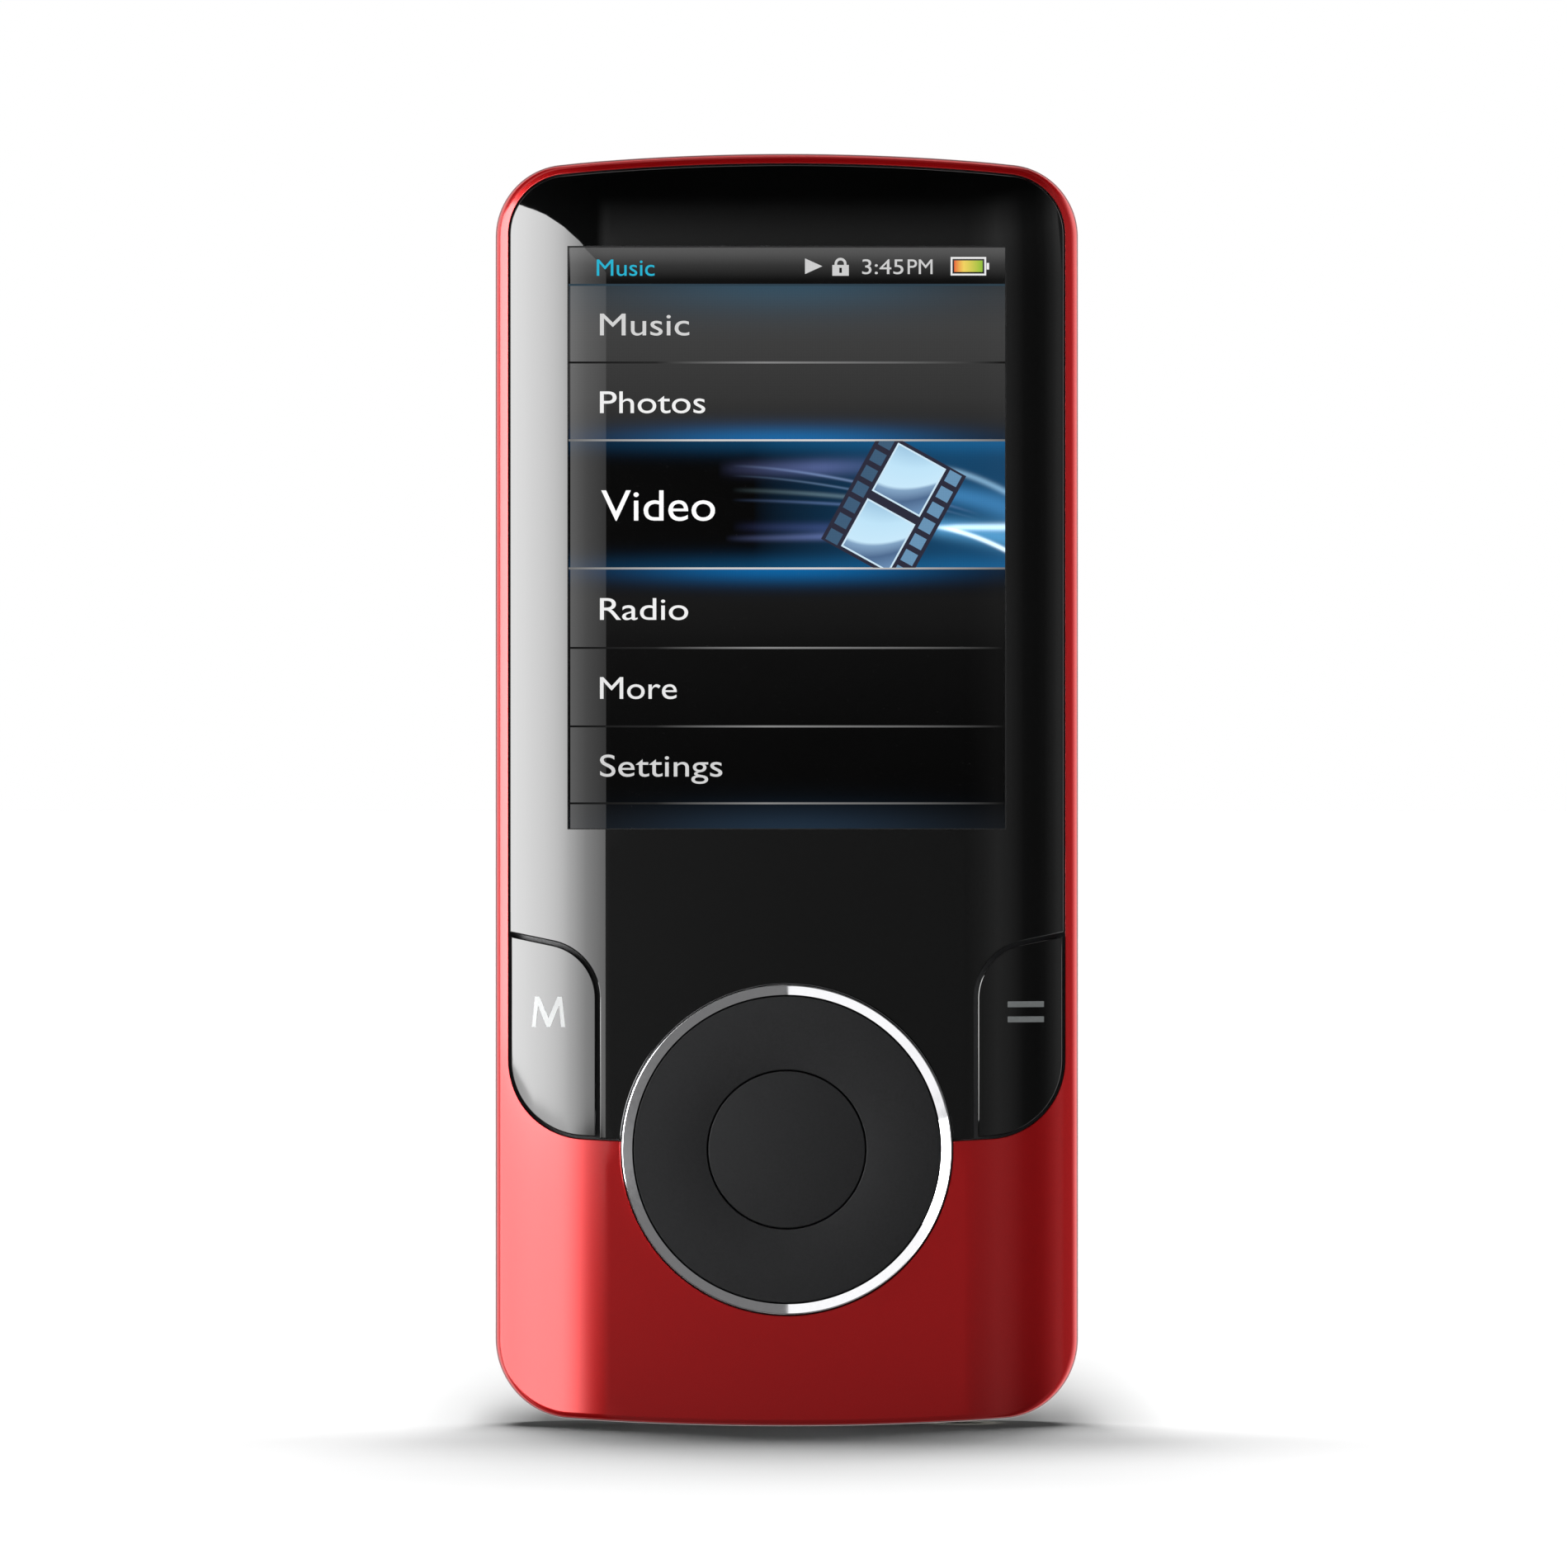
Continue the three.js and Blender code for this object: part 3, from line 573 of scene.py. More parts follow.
def smooth(thing, angle=32, on_faces=False, plate=0.0):
    """Smooth shading with sharp edges kept. on_faces sets exact normals on the player's faces, and
    on the back of a plate of that thickness."""
    data = thing.data
    data.shade_smooth()
    data.set_sharp_from_angle(angle=math.radians(angle))
    if not on_faces:
        return
    points, normals = corners_of(data)
    x, y, z = points.T
    chosen = np.zeros((len(points), 3))
    nearly_along = math.cos(math.radians(25))
    for face, way in ((front_face, -1), (rear_face, 1), (moved(front_face, plate), 1)):
        exact = face_normal(face, way, x, z)
        near = np.abs(y - face(x, z)) < 0.01
        on_face = near & (np.sum(exact * normals, axis=1) > nearly_along)
        chosen[on_face] = exact[on_face]
    data.normals_split_custom_set(chosen.tolist())


def true_cones(ring, least_area=0.05):
    """Exact normals on the broad bands of a ring round the pad, so that each shines evenly."""
    data = ring.data
    centre = Vector((PAD_X, 0, PAD_Z))
    chosen = np.zeros((len(data.loops), 3))
    for face in data.polygons:
        if face.area < least_area:
            continue
        outward_lean = face.normal.dot(away_from_axis(face.center, centre))
        for loop in face.loop_indices:
            point = data.vertices[data.loops[loop].vertex_index].co
            away = away_from_axis(point, centre)
            chosen[loop] = away * outward_lean + Vector((0, face.normal.y, 0))
    data.normals_split_custom_set(chosen.tolist())


def away_from_axis(point, centre):
    """The direction from an axis along Y to a point."""
    return Vector((point.x - centre.x, 0, point.z - centre.z)).normalized()


def finish_piece(thing, body, material=None, replaces=()):
    """Puts a piece in metres, and gives it its material and body.

    material may be a name in MATERIALS, and is None where the mesh already has its own."""
    thing.data.transform(Matrix.Scale(MM, 4))
    if material is not None:
        thing.data.materials.clear()
        thing.data.materials.append(MATERIALS[material] if isinstance(material, str) else material)
    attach(thing, body)
    if replaces:
        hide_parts(*replaces)
    return thing


# ---------------------------------------------------------------- material helpers

def linear(red, green, blue):
    """A colour given as the eye sees it, from 0 to 255, as Blender's linear values."""
    def one(v):
        v /= 255
        return v / 12.92 if v <= 0.04045 else ((v + 0.055) / 1.055) ** 2.4
    return (one(red), one(green), one(blue), 1.0)


def grey(value):
    return linear(value, value, value)


class Nodes:
    """A short way to write node trees. A value may be a number, a colour or a socket."""

    def __init__(self, tree):
        self.tree = tree

    def put(self, kind, inputs=None, **settings):
        node = self.tree.nodes.new(kind)
        for key, value in settings.items():
            setattr(node, key, value)
        for key, value in (inputs or {}).items():
            if isinstance(value, bpy.types.NodeSocket):
                self.tree.links.new(value, node.inputs[key])
            else:
                node.inputs[key].default_value = value
        return node

    def math(self, operation, first, second=0.0, third=0.0, clamp=False):
        inputs = {0: first, 1: second, 2: third}
        return self.put("ShaderNodeMath", inputs, operation=operation, use_clamp=clamp).outputs[0]

    def ramp(self, fac, stops, interpolation="LINEAR"):
        node = self.put("ShaderNodeValToRGB", {0: fac})
        node.color_ramp.interpolation = interpolation
        elements = node.color_ramp.elements
        while len(elements) < len(stops):
            elements.new(0.5)
        for element, (place, colour) in zip(elements, stops):
            element.position = place
            element.color = colour if hasattr(colour, "__len__") else (colour, colour, colour, 1)
        return node.outputs[0]

    def mix(self, fac, first, second, blend="MIX"):
        node = self.put("ShaderNodeMix", data_type="RGBA", blend_type=blend)
        values = (("Factor", "VALUE", fac), ("A", "RGBA", first), ("B", "RGBA", second))
        for key, kind, value in values:
            socket = next(s for s in node.inputs if s.name == key and s.type == kind)
            if isinstance(value, bpy.types.NodeSocket):
                self.tree.links.new(value, socket)
            else:
                socket.default_value = value
        return [s for s in node.outputs if s.type == "RGBA"][0]

    def place(self, scale=(1, 1, 1)):
        """The point being shaded, in millimetres times a scale."""
        where = self.put("ShaderNodeTexCoord").outputs["Object"]
        inputs = {0: where, 1: tuple(s / MM for s in scale)}
        return self.put("ShaderNodeVectorMath", inputs, operation="MULTIPLY").outputs[0]

    def axes(self):
        """The same point's X, Y and Z, as the outputs of one node."""
        return self.put("ShaderNodeSeparateXYZ", {0: self.place()}).outputs

    def bell(self, value):
        """1 where a value is 0, fading smoothly to 0 on both sides."""
        return self.math("EXPONENT", self.product(value, value, -1.0))

    def product(self, first, *others):
        for other in others:
            first = self.math("MULTIPLY", first, other)
        return first

    def noise(self, vector, scale, detail=2.0, roughness=0.5):
        inputs = {"Vector": vector, "Scale": scale, "Detail": detail, "Roughness": roughness}
        return self.put("ShaderNodeTexNoise", inputs).outputs["Fac"]

    def remap(self, value, low, high, to_low, to_high):
        inputs = {0: value, 1: low, 2: high, 3: to_low, 4: to_high}
        return self.put("ShaderNodeMapRange", inputs).outputs[0]

    def bump(self, height, strength, distance):
        inputs = {"Strength": strength, "Distance": distance * MM, "Height": height}
        return self.put("ShaderNodeBump", inputs).outputs["Normal"]


def empty_material(name):
    material = bpy.data.materials.new(name)
    material.use_nodes = True
    material.node_tree.nodes.clear()
    return material, Nodes(material.node_tree)


def put_out(nodes, shader):
    """Makes a shader what the material shows."""
    nodes.put("ShaderNodeOutputMaterial", {0: shader.outputs[0]})


def new_material(name):
    material, nodes = empty_material(name)
    shader = nodes.put("ShaderNodeBsdfPrincipled")
    put_out(nodes, shader)
    return material, nodes, shader


def connect(nodes, socket, shader, name):
    nodes.tree.links.new(socket, shader.inputs[name])


SMUDGE_PATCHES = 0.25  # in a millimetre


def grained(name, colour, rough, grain, depth=0.0, shade=0.1, **fixed):
    """A surface whose colour, roughness and relief vary with noise.

    rough is the lowest and highest roughness, grain the number of grains in a millimetre, depth
    the grain's relief in millimetres, and shade how far the colour varies. Anything else is set
    on the shader's sockets.
    """
    material, nodes, shader = new_material(name)
    where = nodes.place()
    fine = nodes.noise(where, grain, 3.0)
    broad = nodes.noise(where, SMUDGE_PATCHES, 2.0)
    dark = tuple(c * (1 - shade) for c in colour[:3]) + (1,)
    light = tuple(min(1, c * (1 + shade)) for c in colour[:3]) + (1,)
    connect(nodes, nodes.ramp(fine, [(0.3, dark), (0.7, light)]), shader, "Base Color")
    blend = nodes.math("ADD", nodes.product(fine, 0.5), nodes.product(broad, 0.5))
    connect(nodes, nodes.remap(blend, 0.35, 0.65, *rough), shader, "Roughness")
    if depth:
        connect(nodes, nodes.bump(fine, 1.0, depth), shader, "Normal")
    for key, value in fixed.items():
        shader.inputs[key.replace("_", " ")].default_value = value
    return material


# ---------------------------------------------------------------- materials

def lacquer():
    """Red lacquer: a lightly flaked colour under a thin clear coat with a trace of orange peel."""
    material, nodes, shader = new_material("red_lacquer")
    where = nodes.place()
    flake = nodes.noise(where, 14.0, 2.0)
    dark, light = (0.262, 0.0030, 0.0042, 1), (0.282, 0.0036, 0.0048, 1)
    colour = nodes.ramp(flake, [(0.35, dark), (0.65, light)])
    connect(nodes, colour, shader, "Base Color")
    connect(nodes, nodes.remap(flake, 0.3, 0.7, 0.20, 0.22), shader, "Roughness")
    peel = nodes.noise(where, 0.9, 1.0)
    fine = nodes.bump(peel, 0.25, 0.0015)
    connect(nodes, fine, shader, "Coat Normal")
    shader.inputs["IOR"].default_value = 1.8
    shader.inputs["Specular IOR Level"].default_value = 1.0
    shader.inputs["Specular Tint"].default_value = (1.0, 0.03, 0.03, 1)
    shader.inputs["Coat Weight"].default_value = 0.62
    shader.inputs["Coat Roughness"].default_value = 0.09
    return material


def gloss_black():
    """Glossy black acrylic, with a trace of haze."""
    material, nodes, shader = new_material("gloss_black")
    where = nodes.place()
    haze = nodes.noise(where, 0.12, 3.0)
    dark, light = (0.0011, 0.0012, 0.0012, 1), (0.0017, 0.0018, 0.0018, 1)
    colour = nodes.ramp(haze, [(0.3, dark), (0.7, light)])
    connect(nodes, colour, shader, "Base Color")
    connect(nodes, nodes.remap(haze, 0.3, 0.7, 0.018, 0.032), shader, "Roughness")
    return material


def clear_glass():
    """The unprinted part of the window. The picture under it carries its reflections."""
    material, nodes, shader = new_material("clear_acrylic")
    haze = nodes.noise(nodes.place(), 0.12, 3.0)
    connect(nodes, nodes.remap(haze, 0.3, 0.7, 0.0, 0.004), shader, "Roughness")
    shader.inputs["Base Color"].default_value = (1, 1, 1, 1)
    shader.inputs["Transmission Weight"].default_value = 1.0
    shader.inputs["IOR"].default_value = 1.0
    return material


def pad_rubber(name):
    """Soft-touch paint on the pad: dark, matt and finely grained."""
    material, nodes, shader = new_material(name)
    where = nodes.place()
    grain = nodes.noise(where, 5.0, 3.0, 0.6)
    dark, light = (0.0030, 0.0032, 0.0036, 1), (0.0066, 0.0069, 0.0077, 1)
    colour = nodes.ramp(grain, [(0.32, dark), (0.68, light)])
    connect(nodes, colour, shader, "Base Color")
    connect(nodes, nodes.remap(grain, 0.3, 0.7, 0.5, 0.62), shader, "Roughness")
    connect(nodes, nodes.bump(grain, 0.6, 0.012), shader, "Normal")
    shader.inputs["Specular IOR Level"].default_value = 0.2
    return material


def brushed(name, colour, rough):
    """Rolled metal with fine lines along Z."""
    material, nodes, shader = new_material(name)
    lines = nodes.noise(nodes.place((14, 14, 0.6)), 1.0, 2.0)
    dark = tuple(c * 0.85 for c in colour[:3]) + (1,)
    connect(nodes, nodes.ramp(lines, [(0.3, dark), (0.7, colour)]), shader, "Base Color")
    connect(nodes, nodes.remap(lines, 0.3, 0.7, *rough), shader, "Roughness")
    connect(nodes, nodes.bump(lines, 0.3, 0.004), shader, "Normal")
    shader.inputs["Metallic"].default_value = 1.0
    return material


MATERIALS = {
    "red_lacquer": lacquer(),
    "gloss_black": gloss_black(),
    "clear": clear_glass(),
    "matte_black": pad_rubber("matte_black"),
    "chrome": grained("chrome", (0.88, 0.88, 0.9, 1), (0.03, 0.07), 2.5, shade=0.02, Metallic=1),
    "steel": brushed("steel", linear(185, 188, 192), (0.25, 0.4)),
    "dark_steel": brushed("dark_steel", linear(62, 64, 70), (0.3, 0.45)),
    "nickel": grained("nickel", linear(205, 200, 188), (0.2, 0.35), 6, 0.002, Metallic=1),
    "gold": grained("gold_contacts", linear(226, 182, 96), (0.15, 0.3), 6, 0.002, Metallic=1),
    "black_plastic": grained("black_plastic", linear(26, 27, 29), (0.42, 0.6), 5, 0.006),
    "white_plastic": grained("white_plastic", linear(233, 233, 228), (0.4, 0.55), 4, 0.004),
    "polyimide": grained("polyimide", linear(176, 104, 34), (0.28, 0.42), 1.5, shade=0.2),
    "solder_mask": grained("solder_mask", linear(15, 88, 52), (0.25, 0.42), 2.5, 0.008, 0.25),
    "chip_epoxy": grained("chip_epoxy", linear(22, 23, 24), (0.5, 0.7), 9, 0.006, 0.2),
    "foam": grained("foam", linear(30, 30, 31), (0.85, 1.0), 6, 0.05, 0.35),
    "adhesive": grained("adhesive", linear(26, 26, 27), (0.6, 0.8), 3, 0.01, 0.2),
    "silicone": grained("silicone", linear(140, 144, 149), (0.55, 0.7), 3, 0.008),
    "battery_foil": grained("battery_foil", linear(196, 199, 202), (0.28, 0.45), 1.2, 0.02,
                            Metallic=0.85),
    "red_wire": grained("red_wire", linear(192, 26, 26), (0.4, 0.5), 4),
    "black_wire": grained("black_wire", linear(18, 18, 18), (0.4, 0.5), 4),
}


# ---------------------------------------------------------------- shells

def bottom_z(x):
    return BODY.bottom_bow - np.sqrt(BODY.bottom_bow**2 - x**2)


def top_z(x):
    return HEIGHT - BODY.top_bow + np.sqrt(BODY.top_bow**2 - x**2)


def port_cutter(loop, end, way, reach, flare=0.22):
    """A cutter along Z for an opening in the top or bottom wall, with a softened mouth.

    loop is in x and y, end gives the wall's outside at x, and way is 1 where the wall runs up."""
    skin = Skin()
    out = outward(loop)

    def ring(depth, wider):
        return skin.add(loop + out * wider, end(loop[:, 0]) + way * depth)

    rings = [ring(reach, 0.0), ring(flare, 0.0)]
    turns = np.radians([20, 40, 60, 75])
    for angle in turns:
        rings.append(ring(flare * (1 - math.sin(angle)), flare * (1 - math.cos(angle))))
    rings.append(ring(-0.5, flare * (1 - math.cos(turns[-1])) + 2.0))
    skin.bands(rings)
    skin.fill(flat(end(0.0) + way * reach), rings[0])
    cap = np.array([skin.points[i] for i in rings[-1]])
    skin.fill(flat(cap[:, 1].mean()), rings[-1])
    return skin.mesh("port_cutter", along_z=True)


def usb_cutter():
    low = (USB_LOW[0] - USB_HOLE_GAP, USB_LOW[1] - USB_HOLE_GAP)
    high = (USB_HIGH[0] + USB_HOLE_GAP, USB_HIGH[1] + USB_HOLE_GAP)
    return port_cutter(rounded_rectangle(low, high, 0.9), bottom_z, 1, 4.0)


def jack_cutter():
    return port_cutter(circle((JACK_X, JACK_Y), JACK_HOLE, 0.25), bottom_z, 1, 4.0)


def slot_cutter():
    return port_cutter(rounded_rectangle(SLOT_LOW, SLOT_HIGH, 0.6), top_z, -1, 3.0)


def outer_wall(skin, body, face, way):
    """A shell's rounded outer edge, its side, the small break at the seam and the flat that meets
    the other shell. way is 1 for the front shell. Returns the ring on the shell's face."""
    seam_y = PART_Y - way * SEAM / 2
    fillet = skin.edge(body, 0.5, face, way, steps=7)
    seam = skin.edge(body, 0.08, flat(seam_y), -way, steps=2)
    skin.bands(fillet + seam[::-1])
    skin.fill(flat(seam_y), seam[0])
    return fillet[0]


def leave_bare(shell, face, way):
    """Red only on the outside: faces more than a paint edge under the surface stay black."""
    paint_edge, beside = 0.2, 0.03
    shell.data.materials.clear()
    shell.data.materials.append(MATERIALS["red_lacquer"])
    shell.data.materials.append(MATERIALS["black_plastic"])
    centres = np.array([polygon.center for polygon in shell.data.polygons])
    under = way * (centres[:, 1] - face(centres[:, 0], centres[:, 2])) > paint_edge
    inside = is_inside(centres[:, [0, 2]], grown(BODY.loop(), -beside))
    for polygon, bare in zip(shell.data.polygons, under & inside):
        polygon.material_index = int(bare)
    shell.visible_diffuse = False  # so that no red light is thrown on the pale floor


def front_shell():
    skin = Skin()
    rim, recess = outer_wall(skin, BODY.loop(), front_face, 1), recess_loop()
    step = skin.edge(recess, 0.12, front_face, 1, hole=True)
    floor = skin.ring(recess, moved(front_face, RECESS_DEPTH))
    skin.bands([*step, floor])
    skin.fill(front_face, rim, holes=[step[0]], grid=GRID)
    skin.fill(moved(front_face, RECESS_DEPTH), floor, grid=GRID)
    shell = skin.mesh("front_shell")
    combine(shell, "DIFFERENCE", *front_cutters())
    smooth(shell, on_faces=True)
    leave_bare(shell, front_face, 1)
    return finish_piece(shell, "player", None, ["front_housing"])


def front_cutters():
    cavity = slab(BODY.inset(WALL).loop(), moved(front_face, LEDGE_BACK), flat(PART_Y + 1), GRID)
    aperture = well(rounded_rectangle(*picture_corners(0.5), 0.4))
    pad_well = well(circle((PAD_X, PAD_Z), RING_RADIUS + FINE_GAP - 0.03))
    return [cavity, aperture, pad_well, key_well(1), key_well(-1), usb_cutter(), jack_cutter()]


def well(loop):
    """A cutter from in front of the player to the seam."""
    return slab(loop, flat(FRONT_Y - 2), flat(PART_Y))


def key_well(side):
    """The opening under a key that its neck goes through."""
    panel = PANEL.inset(0.9)
    inner, edge = key_side(-0.6, panel)
    loop = closed(panel.low_arcs(inner), edge[::-1])
    return well(loop if side > 0 else mirrored(loop))


def picture_corners(margin):
    """The low left and high right corners of the picture with a margin round it."""
    low = (SCREEN_LEFT - margin, SCREEN_TOP - SCREEN_HEIGHT - margin)
    high = (SCREEN_LEFT + SCREEN_WIDTH + margin, SCREEN_TOP + margin)
    return low, high


def rear_shell():
    skin = Skin()
    rim = outer_wall(skin, BODY.loop(), rear_face, -1)
    mouths = []
    well_floor = SCREW_HEAD_Y[0] - 0.02
    for x in (-SCREW_X, SCREW_X):
        screw_well = circle((x, SCREW_Z), SCREW_WELL, 0.2)
        mouth = skin.edge(screw_well, 0.15, rear_face, -1, steps=3, hole=True)
        base = skin.ring(screw_well, well_floor)
        skin.bands([*mouth, base])
        skin.fill(flat(well_floor), base)
        mouths.append(mouth[0])
    skin.fill(rear_face, rim, holes=mouths, grid=GRID)
    shell = skin.mesh("rear_shell")
    cavity = slab(BODY.inset(WALL).loop(), flat(PART_Y - 1), moved(rear_face, -REAR_WALL), GRID)
    for x in (-SCREW_X, SCREW_X):
        collar = slab(circle((x, SCREW_Z), 1.9, 0.3), flat(2.4), flat(REAR_Y + 1))
        combine(cavity, "DIFFERENCE", collar)
    combine(shell, "DIFFERENCE", cavity, usb_cutter(), jack_cutter(), slot_cutter())
    smooth(shell, on_faces=True)
    leave_bare(shell, rear_face, -1)
    return finish_piece(shell, "player", None, ["rear_cover"])


# ---------------------------------------------------------------- window and keys

def mask_loop():
    """The edge of the black print round the picture."""
    (left, bottom), (right, top) = picture_corners(MASK_MARGIN)
    return closed(np.array([(left, bottom), (right, bottom), (right, top), (left, top)]))


def gloss_plate(name, loop, thickness, lines=()):
    """A plate that follows the front face, with its front edge rounded."""
    skin = Skin()
    front = skin.edge(loop, 0.15, front_face, 1)
    back_face = moved(front_face, thickness)
    back = skin.ring(loop, back_face)
    skin.bands([*front, back])
    skin.fill(front_face, front[0], lines=lines, grid=GRID)
    skin.fill(back_face, back, lines=lines, grid=GRID)
    return skin.mesh(name)


def window():
    mask = mask_loop()
    plate = gloss_plate("window_plate", window_loop(), WINDOW_THICKNESS, [mask])
    plate.data.materials.append(MATERIALS["gloss_black"])
    plate.data.materials.append(MATERIALS["clear"])
    centres = np.array([face.center for face in plate.data.polygons])
    for face, clear in zip(plate.data.polygons, is_inside(centres[:, [0, 2]], mask)):
        face.material_index = int(clear)
    smooth(plate, on_faces=True, plate=WINDOW_THICKNESS)
    plate.visible_glossy = False  # so that the picture's own gloss sees the room through it
    return finish_piece(plate, "player", None, ["screen_window"])


def key_stalk(node, name):
    """The part of the CAD key behind its cap: neck, lip and stem."""
    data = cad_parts[node].data.copy()
    data.transform(Matrix.Scale(1 / MM, 4))
    work = bmesh.new()
    work.from_mesh(data)
    bmesh.ops.remove_doubles(work, verts=work.verts, dist=1e-4)
    work.to_mesh(data)
    work.free()
    stalk = linked(name, data)
    border = rounded_rectangle((-HALF_WIDTH - 1, 10), (HALF_WIDTH + 1, 40), 0.5)
    cap_space = slab(border, flat(FRONT_Y - 2), moved(front_face, CAP_THICKNESS - 0.05), GRID)
    return combine(stalk, "DIFFERENCE", cap_space)


def corner_key(side, name, node, body):
    loop = key_loop() if side > 0 else mirrored(key_loop())
    cap = gloss_plate(name, loop, CAP_THICKNESS)
    combine(cap, "UNION", key_stalk(node, name + "_stalk"))
    smooth(cap, on_faces=True)
    return finish_piece(cap, body, "gloss_black", [node])


# ---------------------------------------------------------------- glyphs on the keys

def key_print():
    """Grey screen-print ink with an uneven film."""
    return (grained("print_light", linear(187, 189, 189), (0.45, 0.6), grain=5, shade=0.05),
            grained("print_grey", linear(112, 116, 116), (0.45, 0.6), grain=5, shade=0.08))


FONT_CAP = 0.729  # capital height of the built-in font at size 1


def text_mesh(name, words, cap_height):
    """Flat lettering in the X-Z plane, its baseline on z = 0 and its left edge on x = 0."""
    curve = bpy.data.curves.new(name, "FONT")
    curve.body = words
    curve.size = cap_height / FONT_CAP
    curve.resolution_u = 6
    holder = linked(name, curve)
    graph = bpy.context.evaluated_depsgraph_get()
    data = bpy.data.meshes.new_from_object(holder.evaluated_get(graph))
    bpy.data.objects.remove(holder)
    bpy.data.curves.remove(curve)
    data.transform(Matrix.Rotation(QUARTER, 4, "X"))
    left = min(v.co.x for v in data.vertices)
    data.transform(Matrix.Translation((-left, 0, 0)))
    return data


def thick_sheet(thing, thickness):
    """Gives a flat mesh a thickness towards +Y, by a closed copy of its outline."""
    work = bmesh.new()
    work.from_mesh(thing.data)
    bmesh.ops.remove_doubles(work, verts=work.verts, dist=1e-4)
    made = bmesh.ops.extrude_face_region(work, geom=work.faces[:])
    moved_points = [g for g in made["geom"] if isinstance(g, bmesh.types.BMVert)]
    bmesh.ops.translate(work, verts=moved_points, vec=(0, thickness, 0))
    bmesh.ops.recalc_face_normals(work, faces=work.faces)
    work.to_mesh(thing.data)
    work.free()


def printed(name, loop):
    """A thin film of ink that follows the front face over a loop."""
    (left, bottom), (right, top) = loop.min(axis=0), loop.max(axis=0)
    grid = np.array([(x, z) for x in spread(left, right, 0.3) for z in spread(bottom, top, 0.5)])
    skin = Skin()
    front, back = moved(front_face, -0.012), moved(front_face, 0.008)
    rings = [skin.ring(loop, front), skin.ring(loop, back)]
    skin.bands(rings)
    skin.fill(front, rings[0], grid=grid, margin=0.08)
    skin.fill(back, rings[1], grid=grid, margin=0.08)
    return skin.mesh(name)


def menu_glyph(material):
    """A plain capital M for the menu key, its legs slightly splayed."""
    centre, half_width, half_height = np.array((-16.72, 29.05)), 1.18, 1.065
    stroke, lean, dip = 0.29, 0.22, 0.42
    shoulder = half_width - lean
    inner = np.array([
        (stroke * 0.45, -1), (shoulder - stroke * 0.75, 0.42), (half_width - stroke, -1)])
    outer = np.array([
        (half_width, -1), (shoulder, 1), (shoulder - stroke * 1.1, 1), (0, -dip)])
    points = np.vstack([mirrored(inner), inner, outer, mirrored(outer[:-1])])
    loop = closed(centre + points * (1, half_height), step=0.3)
    return finish_piece(printed("menu_key_glyph", loop), "left_key", material)


def list_glyph(material):
    """Two short bars for the back and options key."""
    centre, pitch = np.array((16.77, 29.05)), 1.06
    half_size = np.array((2.57, 0.41)) / 2
    bars = []
    for up in (-pitch / 2, pitch / 2):
        middle = centre + (0, up)
        bar = rounded_rectangle(middle - half_size, middle + half_size, 0.03, 0.05)
        bars.append(printed("back_key_glyph", closed(bar, step=0.3)))
    return finish_piece(united(bars), "right_key", material)


# ---------------------------------------------------------------- the control pad

def trim_ring():
    """The chrome ring: a slope that leans inwards, a rounded rim and a flange under the window."""
    ring = turned_solid("trim_ring", soften([
        (10.83, -4.6, 0.03), (11.49, RING_LOW[1], 0.03),
        (RING_RADIUS, RING_LOW[1] + 0.03, 0.02), (RING_RADIUS, -2.9, 0.05),
        (12.4, -2.9, 0.05), (12.4, -2.5, 0.05), (10.83, -2.5, 0.05),
    ]), sides=240)
    smooth(ring, 20)
    true_cones(ring)
    finish_piece(ring, "player", "chrome", ["pad_trim_ring"])


def pad_disc():
    """The rocking pad: a flat ring with a flange that the trim ring holds down, and four nubs."""
    pad = turned_solid("pad_disc", soften([
        (5.6, PAD_TOP_Y, 0.06), (PAD_RADIUS, PAD_TOP_Y, 0.08),
        (PAD_RADIUS, -2.05, 0.03), (11.55, -2.05, 0.05), (11.55, -1.65, 0.05),
        (6.65, -1.65, 0.05), (6.65, -3.15, 0.03), (5.6, -3.15, 0.05),
    ]), sides=200)
    combine(pad, "UNION", *[pad_nub(i * QUARTER) for i in range(4)])
    smooth(pad, 35)
    finish_piece(pad, "pad", "matte_black", ["control_pad"])


def select_button():
    """The centre button: a cap, a flange under the pad and a stem to its switch."""
    button = turned_solid("select_button_cap", soften([
        (0, BUTTON_TOP_Y, 0), (BUTTON_RADIUS, BUTTON_TOP_Y, 0.06),
        (BUTTON_RADIUS, -2.9, 0.03), (6.3, -2.9, 0.05), (6.3, -2.45, 0.05),
        (1.4, -2.45, 0.05), (1.4, -0.55, 0.1), (0, -0.55, 0),
    ]))
    smooth(button, 35)
    finish_piece(button, "select_button", "matte_black", ["centre_button"])


def pad_nub(turn, radius=0.9, reach=8.6):
    """A round nub under the pad, over one switch dome."""
    centre = (PAD_X + reach * math.cos(turn), PAD_Z + reach * math.sin(turn))
    profile = soften([(0, -1.9, 0), (radius, -1.9, 0), (radius, -0.55, 0.15), (0, -0.55, 0)])
    return turned_solid("nub", profile, centre, 32)


# ---------------------------------------------------------------- ports, slider and screws

